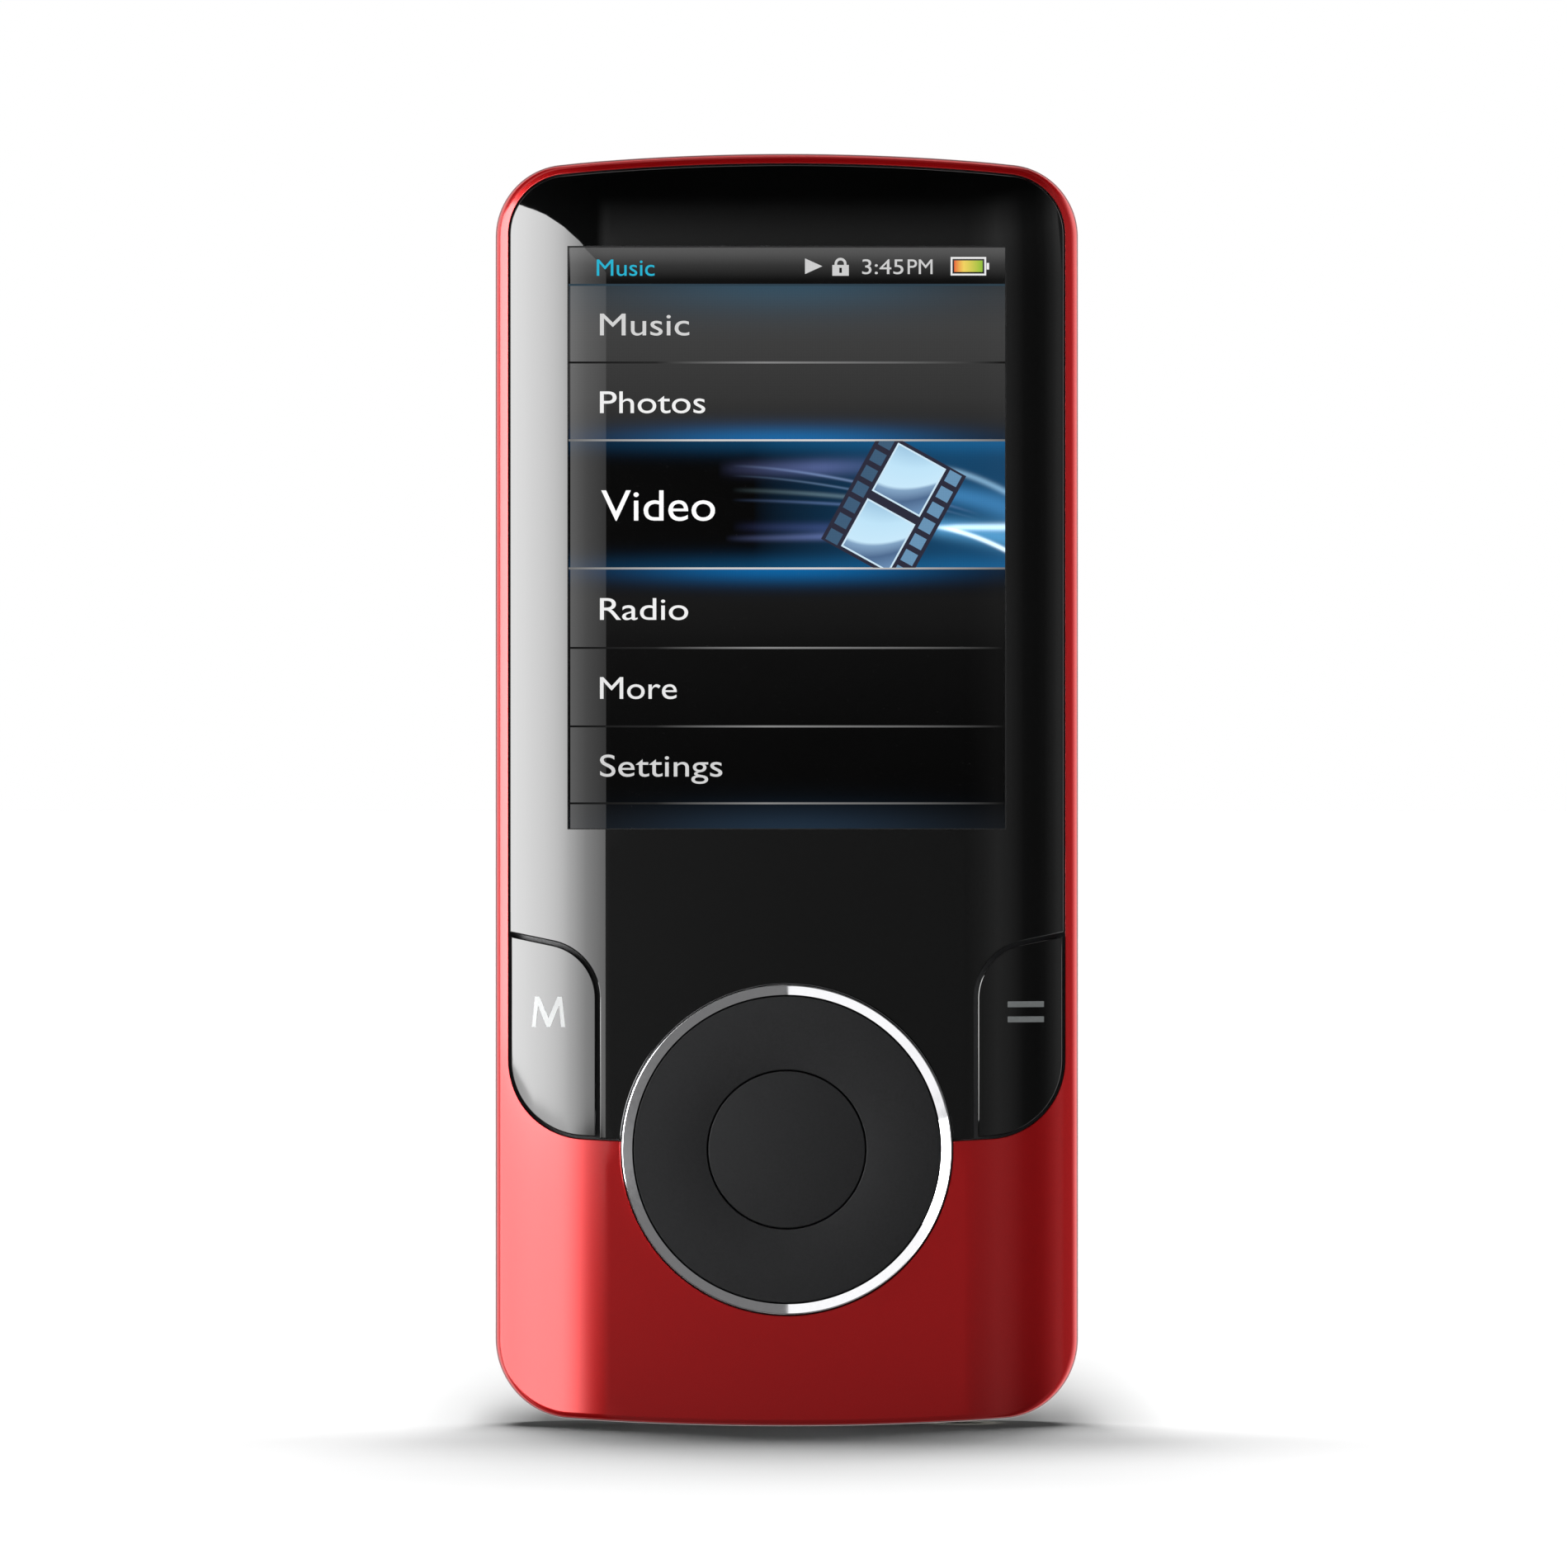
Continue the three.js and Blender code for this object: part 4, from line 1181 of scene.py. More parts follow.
def usb_port():
    """A steel shell, open at the mouth and closed at the back."""
    sheet_metal = 0.3
    low, high = USB_LOW[:2], USB_HIGH[:2]
    mouth_z, end_z = USB_LOW[2], USB_HIGH[2]
    skin = Skin()
    outer = rounded_rectangle(low, high, 0.8, 0.15)
    inner = rounded_rectangle(low + sheet_metal, high - sheet_metal, 0.5, 0.15)
    mouth = skin.edge(outer, 0.08, flat(mouth_z), 1, steps=3)
    lip = skin.edge(inner, 0.1, flat(mouth_z), 1, steps=3, hole=True)
    end = skin.ring(outer, end_z)
    base = skin.ring(inner, end_z - sheet_metal)
    skin.bands([*mouth, end])
    skin.bands([*lip, base])
    skin.fill(flat(mouth_z), mouth[0], holes=[lip[0]])
    skin.fill(flat(end_z), end)
    skin.fill(flat(end_z - sheet_metal), base)
    shell = skin.mesh("usb_port_shell", along_z=True)
    smooth(shell, 40)
    finish_piece(shell, "player", "steel", ["usb_shell"])


def usb_tongue():
    """The moulded tongue inside the shell, with five gold contacts."""
    middle_y = (TONGUE_LOW[1] + TONGUE_HIGH[1]) / 2
    low_z, high_z = TONGUE_LOW[2], TONGUE_HIGH[2]
    base = rounded_rectangle((-3.4, middle_y - 1.5), (3.4, middle_y + 1.5), 0.2)
    blade = rounded_rectangle((-2.4, middle_y - 0.2), (2.4, middle_y + 0.8), 0.12, 0.05)
    tongue = united([
        upright("usb_tongue_insert", base, high_z - 1.25, high_z),
        upright("blade", blade, low_z, high_z - 0.8),
    ])
    smooth(tongue, 30)
    finish_piece(tongue, "player", "black_plastic", ["usb_tongue"])

    pitch, half_width = 0.8, 0.2
    under_y, blade_y = middle_y - 0.26, middle_y - 0.17
    strips = []
    for i in range(5):
        x = (i - 2) * pitch
        strip = rounded_rectangle((x - half_width, under_y), (x + half_width, blade_y), 0.03, 0.02)
        strips.append(upright("usb_contacts", strip, low_z + 0.35, high_z - 1.3))
    finish_piece(united(strips), "player", "gold")


def upright(name, loop, low, high):
    """A solid over a loop in x and y, from one height to another."""
    return slab(loop, flat(low), flat(high), name=name, along_z=True)


def along_z_solid(name, profile, centre, sides=64):
    """A closed profile of (radius, z) turned about an axis along Z."""
    skin = Skin()
    skin.turned(profile, centre, sides)
    return skin.mesh(name, along_z=True)


def headphone_socket():
    """The jack's moulded block and nose, its bright collar and the spring contacts in the bore."""
    centre, bore_end = (JACK_X, JACK_Y), JACK_HIGH[2] - 0.8
    outline = rounded_rectangle(JACK_LOW[:2], JACK_HIGH[:2], 0.3)
    block = upright("headphone_socket", outline, 2.4, JACK_HIGH[2])
    nose = soften([(0, 0.75, 0), (2.5, 0.75, 0.12), (2.5, 2.8, 0), (0, 2.8, 0)])
    combine(block, "UNION", along_z_solid("nose", nose, centre))
    bore = [(0, 0), (1.84, 0), (1.84, bore_end), (0, bore_end)]
    combine(block, "DIFFERENCE", along_z_solid("bore", bore, centre))
    smooth(block, 30)
    finish_piece(block, "player", "black_plastic", ["headphone_jack"])

    rim = soften([(1.8, 0.58, 0.1), (2.42, 0.58, 0.12), (2.42, 0.74, 0.02), (1.83, 0.74, 0.01)])
    collar = along_z_solid("headphone_collar", rim, centre, 96)
    smooth(collar, 30)
    finish_piece(collar, "player", "nickel")

    rod = soften([(0, 3.6, 0), (0.18, 3.6, 0.08), (0.18, 8.0, 0.08), (0, 8.0, 0)])
    rods = []
    for i in range(3):
        angle = i * 2 * math.pi / 3
        spot = (JACK_X + 1.62 * math.cos(angle), JACK_Y + 1.62 * math.sin(angle))
        rods.append(along_z_solid("headphone_contacts", rod, spot, 16))
    springs = united(rods)
    smooth(springs, 40)
    finish_piece(springs, "player", "gold")


def slider_knob():
    """The hold switch's knob: rounded, ribbed on top, over the flange that stays under the slot."""
    middle_x, top_height, base_height = (SLIDER_LOW[0] + SLIDER_HIGH[0]) / 2, SLIDER_HIGH[2], 86.8
    skin = Skin()
    loop = rounded_rectangle((middle_x - 2.4, 1.25), (middle_x + 2.4, 2.75), 0.35, 0.1)
    top = skin.edge(loop, 0.18, flat(top_height), -1)
    base = skin.ring(loop, base_height)
    skin.bands([*top, base])
    skin.fill(flat(top_height), top[0])
    skin.fill(flat(base_height), base)
    knob = skin.mesh("hold_slider_knob", along_z=True)
    flange = rounded_rectangle((SLIDER_LOW[0], 0.95), (SLIDER_HIGH[0], 3.0), 0.2)
    combine(knob, "UNION", upright("flange", flange, 86.5, 87.1))
    stem_hole = rounded_rectangle((middle_x - 0.75, 1.5), (middle_x + 0.75, 2.3), 0.1)
    grooves = [groove(middle_x + offset) for offset in (-1.2, -0.4, 0.4, 1.2)]
    combine(knob, "DIFFERENCE", upright("stem_hole", stem_hole, 86, 87.15), *grooves)
    smooth(knob, 30)
    finish_piece(knob, "hold_switch", "black_plastic", ["hold_slider"])


def groove(x):
    """A V-shaped cut across the slider's top."""
    half, foot, depth = 0.33, 0.05, 0.45
    top = SLIDER_HIGH[2] + 0.15
    low = top - depth
    loop = np.array([(x - half, top), (x - foot, low), (x + foot, low), (x + half, top)])
    return prism("groove", [(loop, 0.5), (loop, 3.5)])


def prism(name, ends):
    """A solid between two loops of four corners, each given with its y."""
    skin = Skin()
    rings = [skin.ring(loop, y) for loop, y in ends]
    skin.bands(rings)
    skin.faces += [tuple(ring) for ring in rings]
    return skin.mesh(name)


def case_screws():
    """Two domed cross-head screws in the rear cover."""
    low, high = SCREW_HEAD_Y
    profile = soften([
        (0, high, 0), (0.8, high - 0.02, 0.1), (1.35, high - 0.22, 0.1), (1.35, low, 0.05),
        (0.65, low, 0.05), (0.65, -1.0, 0.2), (0, -1.1, 0),
    ])
    for i, x in enumerate((-SCREW_X, SCREW_X)):
        screw = turned_solid(f"rear_screw_{i + 1}", profile, (x, SCREW_Z), 48)
        combine(screw, "DIFFERENCE", *[cross_arm(x, SCREW_Z, turn) for turn in (0, QUARTER)])
        smooth(screw, 30)
        finish_piece(screw, "player", "dark_steel", [f"case_screw_{i + 1}"])


def cross_arm(x, z, turn):
    """One arm of a cross recess, narrower at its foot."""
    reach, half, high = 0.82, 0.17, SCREW_HEAD_Y[1]
    cos, sin = math.cos(turn), math.sin(turn)

    def rectangle(a, b):
        corners = np.array([(-a, -b), (a, -b), (a, b), (-a, b)])
        return corners @ np.array([(cos, sin), (-sin, cos)]) + (x, z)

    foot, mouth = rectangle(reach * 0.55, half * 0.7), rectangle(reach, half)
    return prism("cross_arm", [(foot, high - 0.42), (mouth, high + 0.1)])


# ---------------------------------------------------------------- the display

PICTURE_Y = LCD_LOW[1] - 0.03
LINE_Y = PICTURE_Y - 0.03
TEXT_Y = LINE_Y - 0.03
LAYER = 0.02  # thickness of a printed layer
ROWS = (2.62, 8.08, 13.55, 22.56, 28.15, 33.67, 39.08)  # dividers, down from the picture's top
VIDEO_TOP, VIDEO_BOTTOM = ROWS[2], ROWS[3]


def screen_point(across, down):
    """A point of the picture, from its left and top edges, as x and z."""
    return SCREEN_LEFT + across, SCREEN_TOP - down


def lit(name, colour, strength=1.06):
    """A lit part of the picture, with the faint grid of its dots."""
    material, nodes, shader = new_material(name)
    light_up(nodes, shader, dotted(nodes, nodes.axes(), colour), strength)
    return material


def light_up(nodes, shader, colour, strength):
    """Light from the picture, on black with the faint gloss of the window above it, which has an
    anti-reflection film."""
    connect(nodes, colour, shader, "Emission Color")
    shader.inputs["Base Color"].default_value = (0.0003, 0.0003, 0.0003, 1)
    shader.inputs["Roughness"].default_value = 0.02
    shader.inputs["IOR"].default_value = 1.24
    shader.inputs["Emission Strength"].default_value = strength


def dotted(nodes, where, colour, pitch=0.128, depth=0.05):
    """A colour with dark lines between the picture's dots."""
    waves = []
    for axis in ("X", "Z"):
        phase = nodes.math("MULTIPLY", where[axis], 4 * QUARTER / pitch)
        waves.append(nodes.math("MULTIPLY", nodes.math("COSINE", phase), depth / 2))
    dots = nodes.math("SUBTRACT", 1.0 - depth, nodes.math("ADD", *waves))
    return nodes.mix(1.0, colour, dots, "MULTIPLY")


class Painter:
    """Adds soft lights to the picture's colour. Across and down are in millimetres."""

    def __init__(self, nodes, where):
        self.nodes = nodes
        self.across = nodes.math("SUBTRACT", where["X"], SCREEN_LEFT)
        self.down = nodes.math("SUBTRACT", SCREEN_TOP, where["Z"])

    def between(self, low, high):
        after = self.nodes.math("GREATER_THAN", self.down, low)
        before = self.nodes.math("LESS_THAN", self.down, high)
        return self.nodes.math("MULTIPLY", after, before)

    def glow(self, centre, size):
        """A soft spot: 1 at its centre, fading away by about its size."""
        parts = []
        for value, middle, reach in zip((self.across, self.down), centre, size):
            share = self.nodes.math("DIVIDE", self.nodes.math("SUBTRACT", value, middle), reach)
            parts.append(self.nodes.math("MULTIPLY", share, share))
        total = self.nodes.math("ADD", *parts)
        return self.nodes.math("EXPONENT", self.nodes.math("MULTIPLY", total, -1.0))

    def add(self, colour, amount, light):
        scaled = self.nodes.mix(amount, (0, 0, 0, 1), light)
        return self.nodes.mix(1.0, colour, scaled, "ADD")


def row_shades():
    """Greys down the picture: the status bar, then one shade for each row."""
    stops = [
        (0.0, 86), (0.4, 80), (1.2, 51), (2.2, 13), (2.55, 6), (2.62, 48), (3.4, 55),
        (5.5, 61), (8.0, 57), (8.15, 55), (10.5, 50), (12.2, 41), (13.5, 24), (13.6, 0),
        (22.5, 0), (22.6, 8), (23.6, 15), (24.8, 20), (26.5, 17), (28.1, 11), (28.2, 8),
        (33.6, 3), (33.8, 2), (38.5, 0), (39.1, 0), (39.2, 5), (40.85, 14),
    ]
    return [(down / SCREEN_HEIGHT, grey(shade)) for down, shade in stops]


# Each streak: height below the row's middle at its left end and at its right, how thin it is at the
# left and how wide at the right, its colour and gain, and where it begins and has faded out.
STREAKS = [
    (-2.5, -3.0, 0.45, 0.7, (84, 92, 138), 0.8, 10.5, 24),
    (-2.7, 1.3, 0.09, 0.10, (112, 132, 168), 0.7, 11.5, 29),
    (-2.0, 1.6, 0.07, 0.09, (96, 120, 150), 0.6, 11.5, 29),
    (-1.0, 0.9, 0.14, 0.18, (100, 122, 128), 0.6, 11.5, 27),
    (-0.3, 1.0, 0.09, 0.14, (86, 108, 150), 0.6, 11.5, 27),
    (1.6, 1.9, 0.30, 0.5, (52, 60, 104), 0.8, 11.5, 24),
    (2.4, 1.7, 0.18, 0.4, (96, 108, 158), 0.7, 11.0, 26),
    (-2.6, -0.9, 0.2, 0.24, (150, 190, 214), 0.6, 25.5, 40),
    (-1.0, 0.2, 0.5, 0.9, (60, 116, 160), 0.8, 24.5, 40),
    (1.6, 1.6, 0.16, 0.25, (214, 238, 250), 1.0, 25.6, 40),
    (1.6, 3.2, 0.14, 0.16, (232, 248, 255), 1.2, 25.6, 40),
    (1.5, 2.3, 0.5, 0.85, (84, 150, 192), 0.9, 24.0, 40),
]


def picture_material():
    """The menu's rows, with a blue glow at their edges and the chosen row's streaks of light."""
    material, nodes, shader = new_material("display_picture")
    where = nodes.axes()
    paint = Painter(nodes, where)
    colour = nodes.ramp(nodes.math("DIVIDE", paint.down, SCREEN_HEIGHT), row_shades())
    middle = SCREEN_WIDTH / 2
    glows = [
        ((ROWS[0], ROWS[1]), (middle, ROWS[0]), (11.4, 1.9), (4, 55, 76)),
        ((ROWS[1], VIDEO_TOP), (middle, VIDEO_TOP), (9.85, 0.92), (0, 96, 156)),
        ((VIDEO_BOTTOM, ROWS[4]), (middle, VIDEO_BOTTOM), (9.85, 0.91), (0, 95, 156)),
        ((35.0, 41.0), (middle, 41.0), (9.85, 1.6), (22, 40, 57)),
    ]
    for (low, high), centre, size, tint in glows:
        amount = nodes.math("MULTIPLY", paint.glow(centre, size), paint.between(low, high))
        colour = paint.add(colour, amount, linear(*tint))
    colour = video_row(nodes, paint, colour)
    light_up(nodes, shader, dotted(nodes, where, colour), 1.08)
    return material


def video_row(nodes, paint, colour):
    """Light streaks that fan out to the right on a dark blue ground."""
    inside = paint.between(VIDEO_TOP, VIDEO_BOTTOM)
    half = (VIDEO_BOTTOM - VIDEO_TOP) / 2
    height = nodes.math("SUBTRACT", paint.down, VIDEO_TOP + half)
    edge = nodes.math("DIVIDE", nodes.math("SUBTRACT", half, nodes.math("ABSOLUTE", height)), 0.85)
    rim = nodes.product(nodes.bell(edge), nodes.remap(paint.across, 1.0, 15.0, 0.3, 1.0))
    ground = nodes.math("POWER", nodes.remap(paint.across, 13.0, 27.0, 0.0, 1.0), 0.9)
    layers = [(rim, (7, 62, 98)), (ground, (18, 66, 102))]
    for start, end, thin, wide, tint, gain, begins, gone in STREAKS:
        share = nodes.remap(paint.across, begins, SCREEN_WIDTH, 0.0, 1.0)
        bend = nodes.math("POWER", share, 1.6)
        line = nodes.remap(bend, 0.0, 1.0, start, end)
        width = nodes.remap(share, 0.0, 1.0, thin, wide)
        offset = nodes.math("DIVIDE", nodes.math("SUBTRACT", height, line), width)
        rise = nodes.math("MINIMUM", nodes.math("MULTIPLY", share, 3.0), 1.0)
        fall = nodes.remap(paint.across, gone - 6, gone, 1.0, 0.0)
        layers.append((nodes.product(nodes.bell(offset), rise, fall, gain), tint))
    for amount, tint in layers:
        clipped = nodes.math("MULTIPLY", amount, inside)
        colour = paint.add(colour, clipped, linear(*tint))
    return colour


def box_loop(across, down, width, height):
    """A rectangle of the picture, from its top left corner."""
    x, z = screen_point(across, down)
    return np.array([(x, z - height), (x + width, z - height), (x + width, z), (x, z)])


def divider_material():
    """Thin light lines that fade out towards both ends, brighter round the chosen row."""
    material, nodes, shader = new_material("display_dividers")
    paint = Painter(nodes, nodes.axes())
    share = nodes.math("DIVIDE", paint.across, SCREEN_WIDTH)

    def run(*stops):
        return nodes.ramp(share, [(place, grey(shade)) for place, shade in stops])

    plain = run((0.0, 12), (0.2, 34), (0.45, 128), (0.75, 96), (1.0, 10))
    bright = run((0.0, 110), (0.3, 196), (0.6, 205), (1.0, 110))
    round_chosen = paint.between(VIDEO_TOP - 0.5, VIDEO_BOTTOM + 0.5)
    under_bar = nodes.math("LESS_THAN", paint.down, 3.0)
    colour = nodes.mix(under_bar, nodes.mix(round_chosen, plain, bright), linear(44, 62, 74))
    light_up(nodes, shader, colour, 1.06)
    return material


def join_all(name, things):
    """One object from several, each keeping its material."""
    bpy.ops.object.select_all(action="DESELECT")
    for thing in things:
        thing.select_set(True)
    bpy.context.view_layer.objects.active = things[0]
    bpy.ops.object.join()
    things[0].name = name
    things[0].data.name = name
    return things[0]


def words(text, across, down, cap, width, material):
    """Lettering on the picture. down is to its baseline, and width stretches it to fit."""
    data = text_mesh(text, text, cap)
    span = max(v.co.x for v in data.vertices)
    data.transform(Matrix.Diagonal((width / span, 1, 1, 1)))
    x, z = screen_point(across, down)
    data.transform(Matrix.Translation((x, TEXT_Y, z)))
    thing = linked("words", data)
    thick_sheet(thing, LAYER)
    data.materials.clear()
    data.materials.append(material)
    return thing


def patch(loop, y, material, thickness=LAYER):
    """A thin sheet over a loop of the picture."""
    thing = slab(loop, flat(y), flat(y + thickness), name="patch")
    thing.data.materials.append(material)
    return thing


def polygon(points):
    """A loop of the picture from (across, down) points, in either direction."""
    loop = np.array([screen_point(*p) for p in points])
    area = np.sum(loop[:, 0] * np.roll(loop[:, 1], -1) - np.roll(loop[:, 0], -1) * loop[:, 1])
    return loop if area > 0 else loop[::-1]


def menu_words():
    """The menu's entries, in plain dictionary words."""
    entries = [
        ("Music", 0, 6.28, 210), ("Photos", 1, 7.4, 240), ("Radio", 3, 6.2, 240),
        ("More", 4, 5.4, 232), ("Settings", 5, 8.6, 210),
    ]
    made = []
    lights = {shade: lit(f"menu_text_{shade}", grey(shade)) for shade in (210, 232, 240)}
    for text, row, width, shade in entries:
        middle = (ROWS[row] + ROWS[row + 1]) / 2
        made.append(words(text, 2.21, middle + 0.82, 1.63, width, lights[shade]))
    chosen = lit("menu_text_chosen", grey(255), 1.1)
    made.append(words("Video", 2.3, (VIDEO_TOP + VIDEO_BOTTOM) / 2 + 1.14, 2.27, 8.0, chosen))
    title = lit("status_text", linear(40, 178, 208))
    made.append(words("Music", 1.98, 1.98, 1.22, 4.07, title))
    return made


def status_icons():
    """Play mark, padlock, clock digits and battery gauge in the bar at the top."""
    pale = lit("status_icons", grey(205))
    play_mark = polygon([(16.63, 0.76), (17.85, 1.31), (16.63, 1.86)])
    lock_body = box_loop(18.55, 1.22, 1.16, 0.76)
    made = [patch(loop, TEXT_Y, pale) for loop in (play_mark, lock_body, lock_hoop())]
    made.append(patch(box_loop(19.04, 1.42, 0.18, 0.36), TEXT_Y - 0.01, lit("keyhole", grey(20))))
    made.append(words("3:45", 20.65, 1.86, 1.1, 2.9, pale))
    made.append(words("PM", 23.85, 1.86, 1.1, 1.75, pale))
    return made + battery_gauge()


def lock_hoop():
    """The padlock's hoop: half a ring on two short legs."""
    outer, inner, leg = 0.42, 0.24, 0.1
    x, z = screen_point(19.13, 1.14)
    return closed(
        arc((x, z), outer, 0, 2 * QUARTER, 0.05), [(x - outer, z - leg), (x - inner, z - leg)],
        arc((x, z), inner, 2 * QUARTER, 0, 0.05), [(x + inner, z - leg), (x + outer, z - leg)],
        step=5)


def battery_gauge():
    """A white frame with a nub and a fill that runs from orange to green."""
    frame_light = lit("gauge_frame", grey(235))
    fill, nodes, shader = new_material("gauge_fill")
    across = nodes.remap(nodes.axes()["X"], SCREEN_LEFT + 27.1, SCREEN_LEFT + 29.1, 0.0, 1.0)
    orange, yellow, green = linear(226, 96, 60), linear(236, 206, 96), linear(140, 186, 60)
    run = nodes.ramp(across, [(0.0, orange), (0.35, yellow), (1.0, green)])
    light_up(nodes, shader, run, 1.05)
    left, top, width, height, line = 26.87, 0.66, 2.5, 1.3, 0.13
    inner_height = height - 2 * line
    sides = [
        (left, top, width, line),
        (left, top + height - line, width, line),
        (left, top + line, line, inner_height),
        (left + width - line, top + line, line, inner_height),
        (left + width + 0.03, top + 0.42, 0.18, 0.46),
    ]
    made = [patch(box_loop(*side), TEXT_Y, frame_light) for side in sides]
    made.append(patch(box_loop(left + 0.25, top + 0.25, width - 0.5, height - 0.5), TEXT_Y, fill))
    return made


STRIP_TILT = math.radians(29)
STRIP_CENTRE = (22.86, 18.28)
STRIP_HALF = (3.4, 4.4)
FRAME_SIZE, FRAME_PITCH = 3.85, 4.46
SPROCKET_PITCH = 1.27


def strip_loop(across, down, width, height):
    """A rectangle in the film strip's own tilted frame, measured from the strip's centre."""
    corners = [(across, down), (across + width, down),
               (across + width, down + height), (across, down + height)]
    cos, sin = math.cos(STRIP_TILT), math.sin(STRIP_TILT)
    return polygon([
        (STRIP_CENTRE[0] + a * cos - d * sin, STRIP_CENTRE[1] + a * sin + d * cos)
        for a, d in corners
    ])


def frame_material():
    """Pale blue glossy film frames: light above a dark curved foot."""
    material, nodes, shader = new_material("film_frames")
    where = nodes.axes()
    across = nodes.math("SUBTRACT", where["X"], SCREEN_LEFT + STRIP_CENTRE[0])
    down = nodes.math("SUBTRACT", SCREEN_TOP - STRIP_CENTRE[1], where["Z"])
    cos, sin = math.cos(STRIP_TILT), math.sin(STRIP_TILT)
    along = nodes.math("SUBTRACT", nodes.product(down, cos), nodes.product(across, sin))
    upper = nodes.product(nodes.math("LESS_THAN", along, 0.0), FRAME_PITCH)
    inner = nodes.math("SUBTRACT", nodes.math("ADD", along, upper), FRAME_PITCH / 2)
    side = nodes.math("ADD", nodes.product(across, cos), nodes.product(down, sin))
    level = nodes.math("ADD", nodes.product(inner, cos), nodes.product(side, sin))
    curved = nodes.math("ADD", level, nodes.product(side, side, 0.12))
    colour = nodes.ramp(nodes.remap(curved, -2.6, 2.6, 0.0, 1.0), [
        (0.0, linear(140, 182, 212)), (0.35, linear(188, 224, 244)), (0.60, linear(196, 228, 246)),
        (0.645, linear(128, 160, 192)), (0.80, linear(76, 104, 140)), (1.0, linear(104, 138, 176))])
    light_up(nodes, shader, colour, 1.05)
    return material


def punched(loop, holes, y, material):
    """A thin flat sheet with holes through it."""
    skin = Skin()
    front = [skin.ring(line, y) for line in (loop, *holes)]
    back = [skin.ring(line, y + LAYER) for line in (loop, *holes)]
    for pair in zip(front, back):
        skin.bands(pair)
    skin.fill(flat(y), front[0], holes=front[1:])
    skin.fill(flat(y + LAYER), back[0], holes=back[1:])
    thing = skin.mesh("patch")
    thing.data.materials.append(material)
    return thing


def film_strip():
    """A tilted strip of two frames with sprocket windows, cut off at the row's edges."""
    half_width, half_length = STRIP_HALF
    middle = (half_width + FRAME_SIZE / 2) / 2
    sprockets = [strip_loop(side * middle - 0.47, i * SPROCKET_PITCH - 0.44, 0.94, 0.88)
                 for side in (-1, 1) for i in range(-3, 4)]
    body = strip_loop(-half_width, -half_length, 2 * half_width, 2 * half_length)
    made = [punched(body, sprockets, TEXT_Y, lit("film_strip", linear(44, 44, 60), 1.05))]
    for side, name, tint in ((-1, "left", (62, 92, 120)), (1, "right", (104, 146, 180))):
        window_light = lit(f"film_windows_{name}", linear(*tint))
        bar = strip_loop(side * middle - 0.55, -half_length + 0.1, 1.1, 2 * half_length - 0.2)
        made.append(patch(bar, TEXT_Y + 0.012, window_light, 0.004))
    border = lit("film_borders", linear(206, 232, 248), 1.05)
    glass = frame_material()
    for centre in (-FRAME_PITCH / 2, FRAME_PITCH / 2):
        for inset, lift, material in ((0.0, 0.02, border), (0.12, 0.04, glass)):
            half = FRAME_SIZE / 2 - inset
            square = strip_loop(-half, centre - half, 2 * half, 2 * half)
            made.append(patch(square, TEXT_Y - lift, material))
    strip = join_all("display_film_strip", made)
    clip_rows(strip.data, SCREEN_TOP - VIDEO_BOTTOM + 0.05, SCREEN_TOP - VIDEO_TOP - 0.05)
    return strip


def clip_rows(data, low, high):
    """Cuts a mesh off below one height and above another, and closes the cuts."""
    work = bmesh.new()
    work.from_mesh(data)
    for height, up in ((low, -1), (high, 1)):
        parts = work.verts[:] + work.edges[:] + work.faces[:]
        cut = bmesh.ops.bisect_plane(
            work, geom=parts, plane_co=(0, 0, height), plane_no=(0, 0, up), clear_outer=True)
        rim = [g for g in cut["geom_cut"] if isinstance(g, bmesh.types.BMEdge)]
        bmesh.ops.holes_fill(work, edges=rim)
    work.to_mesh(data)
    work.free()


def shine_like_window(thing):
    """Gives a flat sheet's front the curved window's normals, so that both mirror alike."""
    points, normals = corners_of(thing.data)
    in_front = normals[:, 1] < -0.9
    chosen = np.zeros((len(points), 3))
    chosen[in_front] = face_normal(front_face, -1, points[in_front, 0], points[in_front, 2])
    thing.data.shade_smooth()
    thing.data.normals_split_custom_set(chosen.tolist())


def display():
    """The display glass, and on it the picture's layers from back to front."""
    edge = rounded_rectangle(LCD_LOW[[0, 2]], LCD_HIGH[[0, 2]], 0.3)
    panel = slab(edge, flat(LCD_LOW[1]), flat(LCD_HIGH[1]), name="display_panel")
    smooth(panel, 30)
    glass = grained("display_glass", (0.002, 0.002, 0.003, 1), (0.2, 0.3), grain=1.0)
    finish_piece(panel, "player", glass, ["lcd_glass"])

    outline = closed(box_loop(0, 0, SCREEN_WIDTH, SCREEN_HEIGHT))
    picture = slab(outline, flat(PICTURE_Y), flat(PICTURE_Y + LAYER), GRID, "display_image")
    shine_like_window(picture)
    finish_piece(picture, "player", picture_material())

    ruled = divider_material()
    lines = [patch(box_loop(0, down - 0.07, SCREEN_WIDTH, 0.14), LINE_Y, ruled) for down in ROWS]
    finish_piece(join_all("display_lines", lines), "player")
    finish_piece(film_strip(), "player")
    finish_piece(join_all("display_text", menu_words()), "player")
    finish_piece(join_all("display_icons", status_icons()), "player")


# ---------------------------------------------------------------- the CAD nodes that stay

